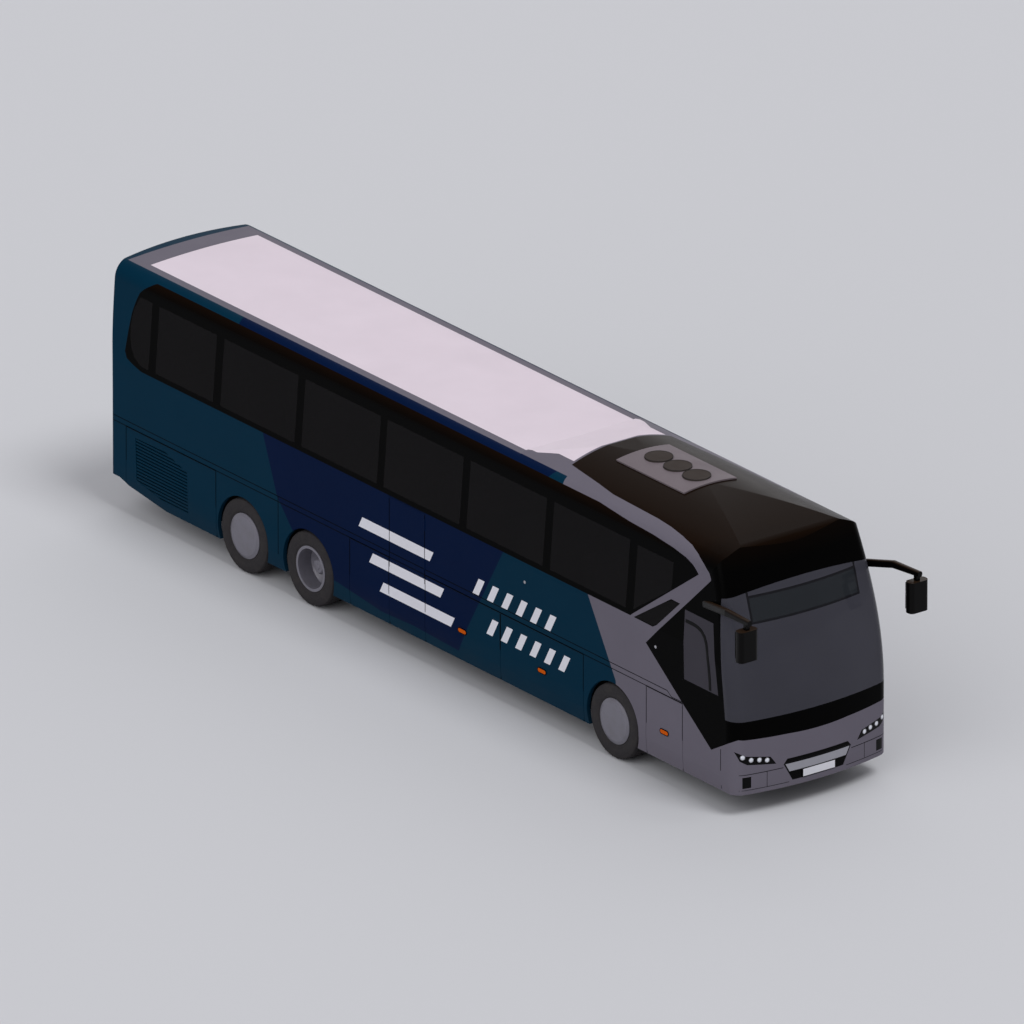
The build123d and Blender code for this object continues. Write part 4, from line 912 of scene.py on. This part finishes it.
# Rubber along the upright edges of the flaps and of the emergency door, which carries the belt lines too.
EDGE_IN, EDGE_HALF = 0.0045, 0.004
for name in NODES:
    if "_flap_" in name or name == "emergency_door":
        side = 1 if "left" in name else -1
        side_tree[name] = surface_tree(name)
        (rear, _, foot), (front, _, top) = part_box(name)
        edges = Build()
        top = min(top, WAIST_Z) - 0.022
        for station in (rear - AXLE_X + EDGE_IN, front - AXLE_X - EDGE_IN):
            upright = [(station, z) for z in (foot + 0.002, (top + foot) / 2, top)]
            side_ribbon(edges, name, side, upright, EDGE_HALF)
        if name == "emergency_door":
            for z in (BELT_TOP, BELT_FOOT):
                level = [(rear - AXLE_X + 0.01, z), (front - AXLE_X - 0.01, z)]
                side_ribbon(edges, name, side, level, LINE_HALF)
        edges.make(f"{name}_edges", SEAM, name)

# Black bar that divides the driver's side window, in an arc.
divider = Build()
arc = [(1.53, 2.446), (1.68, 2.449), (1.79, 2.438), (1.87, 2.41), (1.94, 2.355), (1.985, 2.28), (2.012, 2.19),
       (2.035, 2.06), (2.055, 1.95), (2.07, 1.84), (2.08, 1.74), (2.085, 1.65)]
side_ribbon(divider, "window_glass", -1, arc, half=0.022, proud=0.006, thick=0.01)
divider.make("driver_window_bar", BLACK_TRIM)

# Small locks on the right side.
LOCK_PLACES = ((0.918, 1.882), (-1.891, 1.876))
LOCK_PROFILE = [(0.0, 0.022), (0.006, 0.022), (0.009, 0.017), (0.0095, 0.0)]
locks = Build()
for station, z in LOCK_PLACES:
    point, normal = on_side("side_wall_right", -1, station, z)
    locks.lathe(point - normal * 0.003, normal, LOCK_PROFILE, 20)
locks.make("side_locks", STEEL)

# Mirror glasses on the rear faces of the heads.
MIRROR_Y, GLASS_HALF, SURROUND = 1.4, 0.12, 0.008
MIRROR_HEIGHTS = ((2.455, 2.67), (2.69, 2.81))
glasses, surrounds = Build(), Build()
for side in (-1, 1):
    for z0, z1 in MIRROR_HEIGHTS:
        middle = side * MIRROR_Y
        back = hit(side_tree["mirrors"], (at(2.0), middle, (z0 + z1) / 2), (1, 0, 0))[0].x
        reach = GLASS_HALF + SURROUND
        surrounds.box(
            (back - 0.006, middle - reach, z0 - SURROUND),
            (back + 0.002, middle + reach, z1 + SURROUND),
        )
        glasses.box((back - 0.0075, middle - GLASS_HALF, z0), (back - 0.006, middle + GLASS_HALF, z1))
surrounds.make("mirror_surrounds", BLACK_TRIM, bevel=0.003)
glasses.make("mirror_glasses", MIRROR_GLASS)

# Rubber round the passenger door's leaf.
SEAL_STATIONS, SEAL_HALF, SEAL_Y, SEAL_Z = (1.1525, 2.0975), 0.0028, (1.235, 1.2745), (0.56, 2.13)
seal = Build()
for station in SEAL_STATIONS:
    x = at(station)
    seal.box((x - SEAL_HALF, SEAL_Y[0], SEAL_Z[0]), (x + SEAL_HALF, SEAL_Y[1], SEAL_Z[1]))
seal.make("entrance_seal", BLACK_TRIM)

# ---------------------------------------------------------------- roof hatch discs
RING_STEPS, RING_WIDTH, RING_RISE = 40, 0.006, 0.003
vent_rings = Build()
hatch_tree = surface_tree("roof_hatch")
for place in VENT_STATIONS:
    top = hit(hatch_tree, (at(place), 0.0, ABOVE), (0, 0, -1))[0].z
    inner, foot, crest = VENT_RADIUS - RING_WIDTH, top - 0.001, top + RING_RISE
    section = [(VENT_RADIUS, foot), (VENT_RADIUS, crest), (inner, crest), (inner, foot)]
    turns = [2 * pi * k / RING_STEPS for k in range(RING_STEPS)]
    sections = [[(at(place) + r * cos(t), r * sin(t), z) for r, z in section] for t in turns]
    vent_rings.tube(sections, closed=True)
vent_rings.make("roof_vent_rings", BLACK_TRIM)

# ---------------------------------------------------------------- seats
SEAT_PITCH, SEAT_ROWS, FIRST_SEAT = 0.81, 13, -0.48
SEAT_WIDTH, SEAT_SPLIT, AISLE_Y = 0.44, 0.02, 0.25
DRIVER_SEAT, DRIVER_SEAT_Y, DRIVER_SEAT_WIDTH = 1.18, -0.77, 0.5
PEDESTAL_STATIONS, PEDESTAL_Y, PEDESTAL_TOP = (1.36, 1.5), (-0.62, -0.42), 1.15
# Rear and front of a seat's foot plate, ahead of the seat's station.
FOOT = (0.15, 0.33)
# Stations of the emergency door's stairwell, where no seat stands on the right.
STAIR = (-4.87, -4.02)
CHANNELS, CHANNEL_RISE, CHANNEL_LEAN = 3, 0.17, 0.043
CUSHION_STEPS = 24


def cushion_form(build, corner, size, lean=0.0, crown_out=0.02, steps=6):
    """A crowned pad with pulled-in edges, its low corner given; lean shears it backward with height."""
    (x0, y0, z0), (dx, dy, dz) = corner, size
    rings = []
    for i in range(steps + 1):
        v = i / steps
        swell = sin(pi * min(max(v, 0.02), 0.98)) ** 0.45
        ring = []
        for k in range(CUSHION_STEPS):
            turn = 2 * pi * k / CUSHION_STEPS
            cx, cy = cos(turn), sin(turn)
            px = abs(cx) ** 0.35 * (1 if cx > 0 else -1)
            py = abs(cy) ** 0.35 * (1 if cy > 0 else -1)
            z = z0 + dz * v
            x = x0 + dx / 2 + px * (dx / 2 - crown_out * (1 - swell)) - lean * v
            y = y0 + dy / 2 + py * (dy / 2 - crown_out * (1 - swell))
            ring.append((x, y, z))
        rings.append(ring)
    build.tube(rings)


def seat_forms(pads, shells, station, y0, floor_z, width):
    """One seat: cushion, back in three sewn channels, headrest, and the shell behind and below them."""
    x = at(station)
    size = (0.43, width - 0.024, 0.095)
    cushion_form(pads, (x + 0.05, y0 + 0.012, floor_z + 0.335), size, crown_out=0.03, steps=5)
    for i in range(CHANNELS):
        z = floor_z + 0.425 + i * CHANNEL_RISE
        back = -0.055 - i * CHANNEL_LEAN
        size = (0.11, width - 0.028, CHANNEL_RISE - 0.006)
        cushion_form(pads, (x + back, y0 + 0.014, z), size, lean=CHANNEL_LEAN)
    size = (0.1, width - 0.14, 0.17)
    cushion_form(pads, (x - 0.195, y0 + 0.07, floor_z + 0.945), size, lean=0.03, crown_out=0.025)
    shell = [(-0.085, 0.34), (0.0, 0.34), (-0.155, 0.96), (-0.225, 0.96)]
    shells.tube([[(x + px, y, floor_z + pz) for px, pz in shell] for y in (y0 + 0.02, y0 + width - 0.02)])
    shells.box((x + 0.02, y0 + 0.03, floor_z + 0.315), (x + 0.46, y0 + width - 0.03, floor_z + 0.335))


pads, shells, legs = Build(), Build(), Build()
for row in range(SEAT_ROWS):
    station = FIRST_SEAT - row * SEAT_PITCH
    for side in (-1, 1):
        if side < 0 and STAIR[0] < station + FOOT[1] and station + FOOT[0] < STAIR[1]:
            continue
        for place in (0, 1):
            near = AISLE_Y + place * (SEAT_WIDTH + SEAT_SPLIT)
            right_edge = min(side * near, side * (near + SEAT_WIDTH))
            seat_forms(pads, shells, station, right_edge, FLOOR_Z, SEAT_WIDTH)
        y0, y1 = sorted((side * (AISLE_Y + 0.1), side * (AISLE_Y + 0.8)))
        x = at(station)
        for leg_low, leg_high in ((y0, y0 + 0.04), (y1 - 0.04, y1)):
            legs.box((x + 0.17, leg_low, FLOOR_Z + 0.001), (x + 0.31, leg_high, FLOOR_Z + 0.33))
        legs.box((x + FOOT[0], y0, FLOOR_Z), (x + FOOT[1], y1, FLOOR_Z + 0.015))
seat_forms(pads, shells, DRIVER_SEAT, DRIVER_SEAT_Y, CAB_Z, DRIVER_SEAT_WIDTH)
legs.box(
    (at(PEDESTAL_STATIONS[0]), PEDESTAL_Y[0], CAB_Z + 0.001),
    (at(PEDESTAL_STATIONS[1]), PEDESTAL_Y[1], PEDESTAL_TOP),
)
seat_pads = pads.make("seat_pads", PLUSH, smooth=True)
shells.make("seat_shells", CAB_PLASTIC, bevel=0.008)
legs.make("seat_legs", DARK_PAINT, bevel=0.004)
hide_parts("seats")

# ---------------------------------------------------------------- studio
# A plain pale floor under plain soft light.
FLOOR_REACH = 90
SKY_COLOUR, SKY_STRENGTH = (0.88, 0.87, 0.91, 1.0), 0.4
floor_shade = Shade("studio_floor")
floor_shade.set(Base_Color=linear(204, 205, 209), Roughness=0.9, Specular_IOR_Level=0.0)
floor_mesh = bpy.data.meshes.new("studio_floor")
corners = [(x * FLOOR_REACH, y * FLOOR_REACH, 0) for x, y in ((-1, -1), (1, -1), (1, 1), (-1, 1))]
floor_mesh.from_pydata(corners, [], [(0, 1, 2, 3)])
floor_mesh.materials.append(floor_shade.material)
ground = bpy.data.objects.new("studio_floor", floor_mesh)
bpy.context.scene.collection.objects.link(ground)

world = bpy.data.worlds.new("studio")
world.use_nodes = True
light = next(node for node in world.node_tree.nodes if node.type == "BACKGROUND")
light.inputs["Color"].default_value = SKY_COLOUR
light.inputs["Strength"].default_value = SKY_STRENGTH
bpy.context.scene.world = world


def towards(azimuth, elevation):
    """Unit vector towards a place in the sky, azimuth from the right side's normal to the front."""
    a, e = radians(azimuth), radians(elevation)
    return Vector((sin(a) * cos(e), -cos(a) * cos(e), sin(e)))


def sun(name, azimuth, elevation, strength, angle):
    """A soft distant lamp that shines from a direction."""
    lamp = bpy.data.lights.new(name, "SUN")
    lamp.energy = strength
    lamp.angle = radians(angle)
    holder = bpy.data.objects.new(name, lamp)
    holder.rotation_euler = towards(azimuth, elevation).to_track_quat("Z", "Y").to_euler()
    bpy.context.scene.collection.objects.link(holder)


sun("key", 100.0, 62.0, 1.25, 25.0)
sun("fill", 10.0, 35.0, 1.0, 60.0)
sun("back", 225.0, 30.0, 0.5, 60.0)

# ---------------------------------------------------------------- camera
AZIMUTH, ELEVATION = 52.69, 22.19
# A very long lens, because the photograph was read as a view without perspective.
# FRAME_WIDTH is the width that the picture shows at AIM.
FOCAL_LENGTH, SENSOR, FRAME_WIDTH = 1200.0, 36.0, 13.461
AIM = Vector((at(-3.8394), 0.0, 1.9202))
to_camera = towards(AZIMUTH, ELEVATION)
camera_data = bpy.data.cameras.new("camera")
camera_data.lens = FOCAL_LENGTH
camera_data.sensor_width = SENSOR
camera_data.clip_start = 1.0
camera_data.clip_end = 1500.0
camera = bpy.data.objects.new("camera", camera_data)
camera.location = AIM + to_camera * (FRAME_WIDTH * FOCAL_LENGTH / SENSOR)
camera.rotation_euler = to_camera.to_track_quat("Z", "Y").to_euler()
bpy.context.scene.collection.objects.link(camera)
bpy.context.scene.camera = camera
bpy.context.scene.view_settings.view_transform = "Standard"
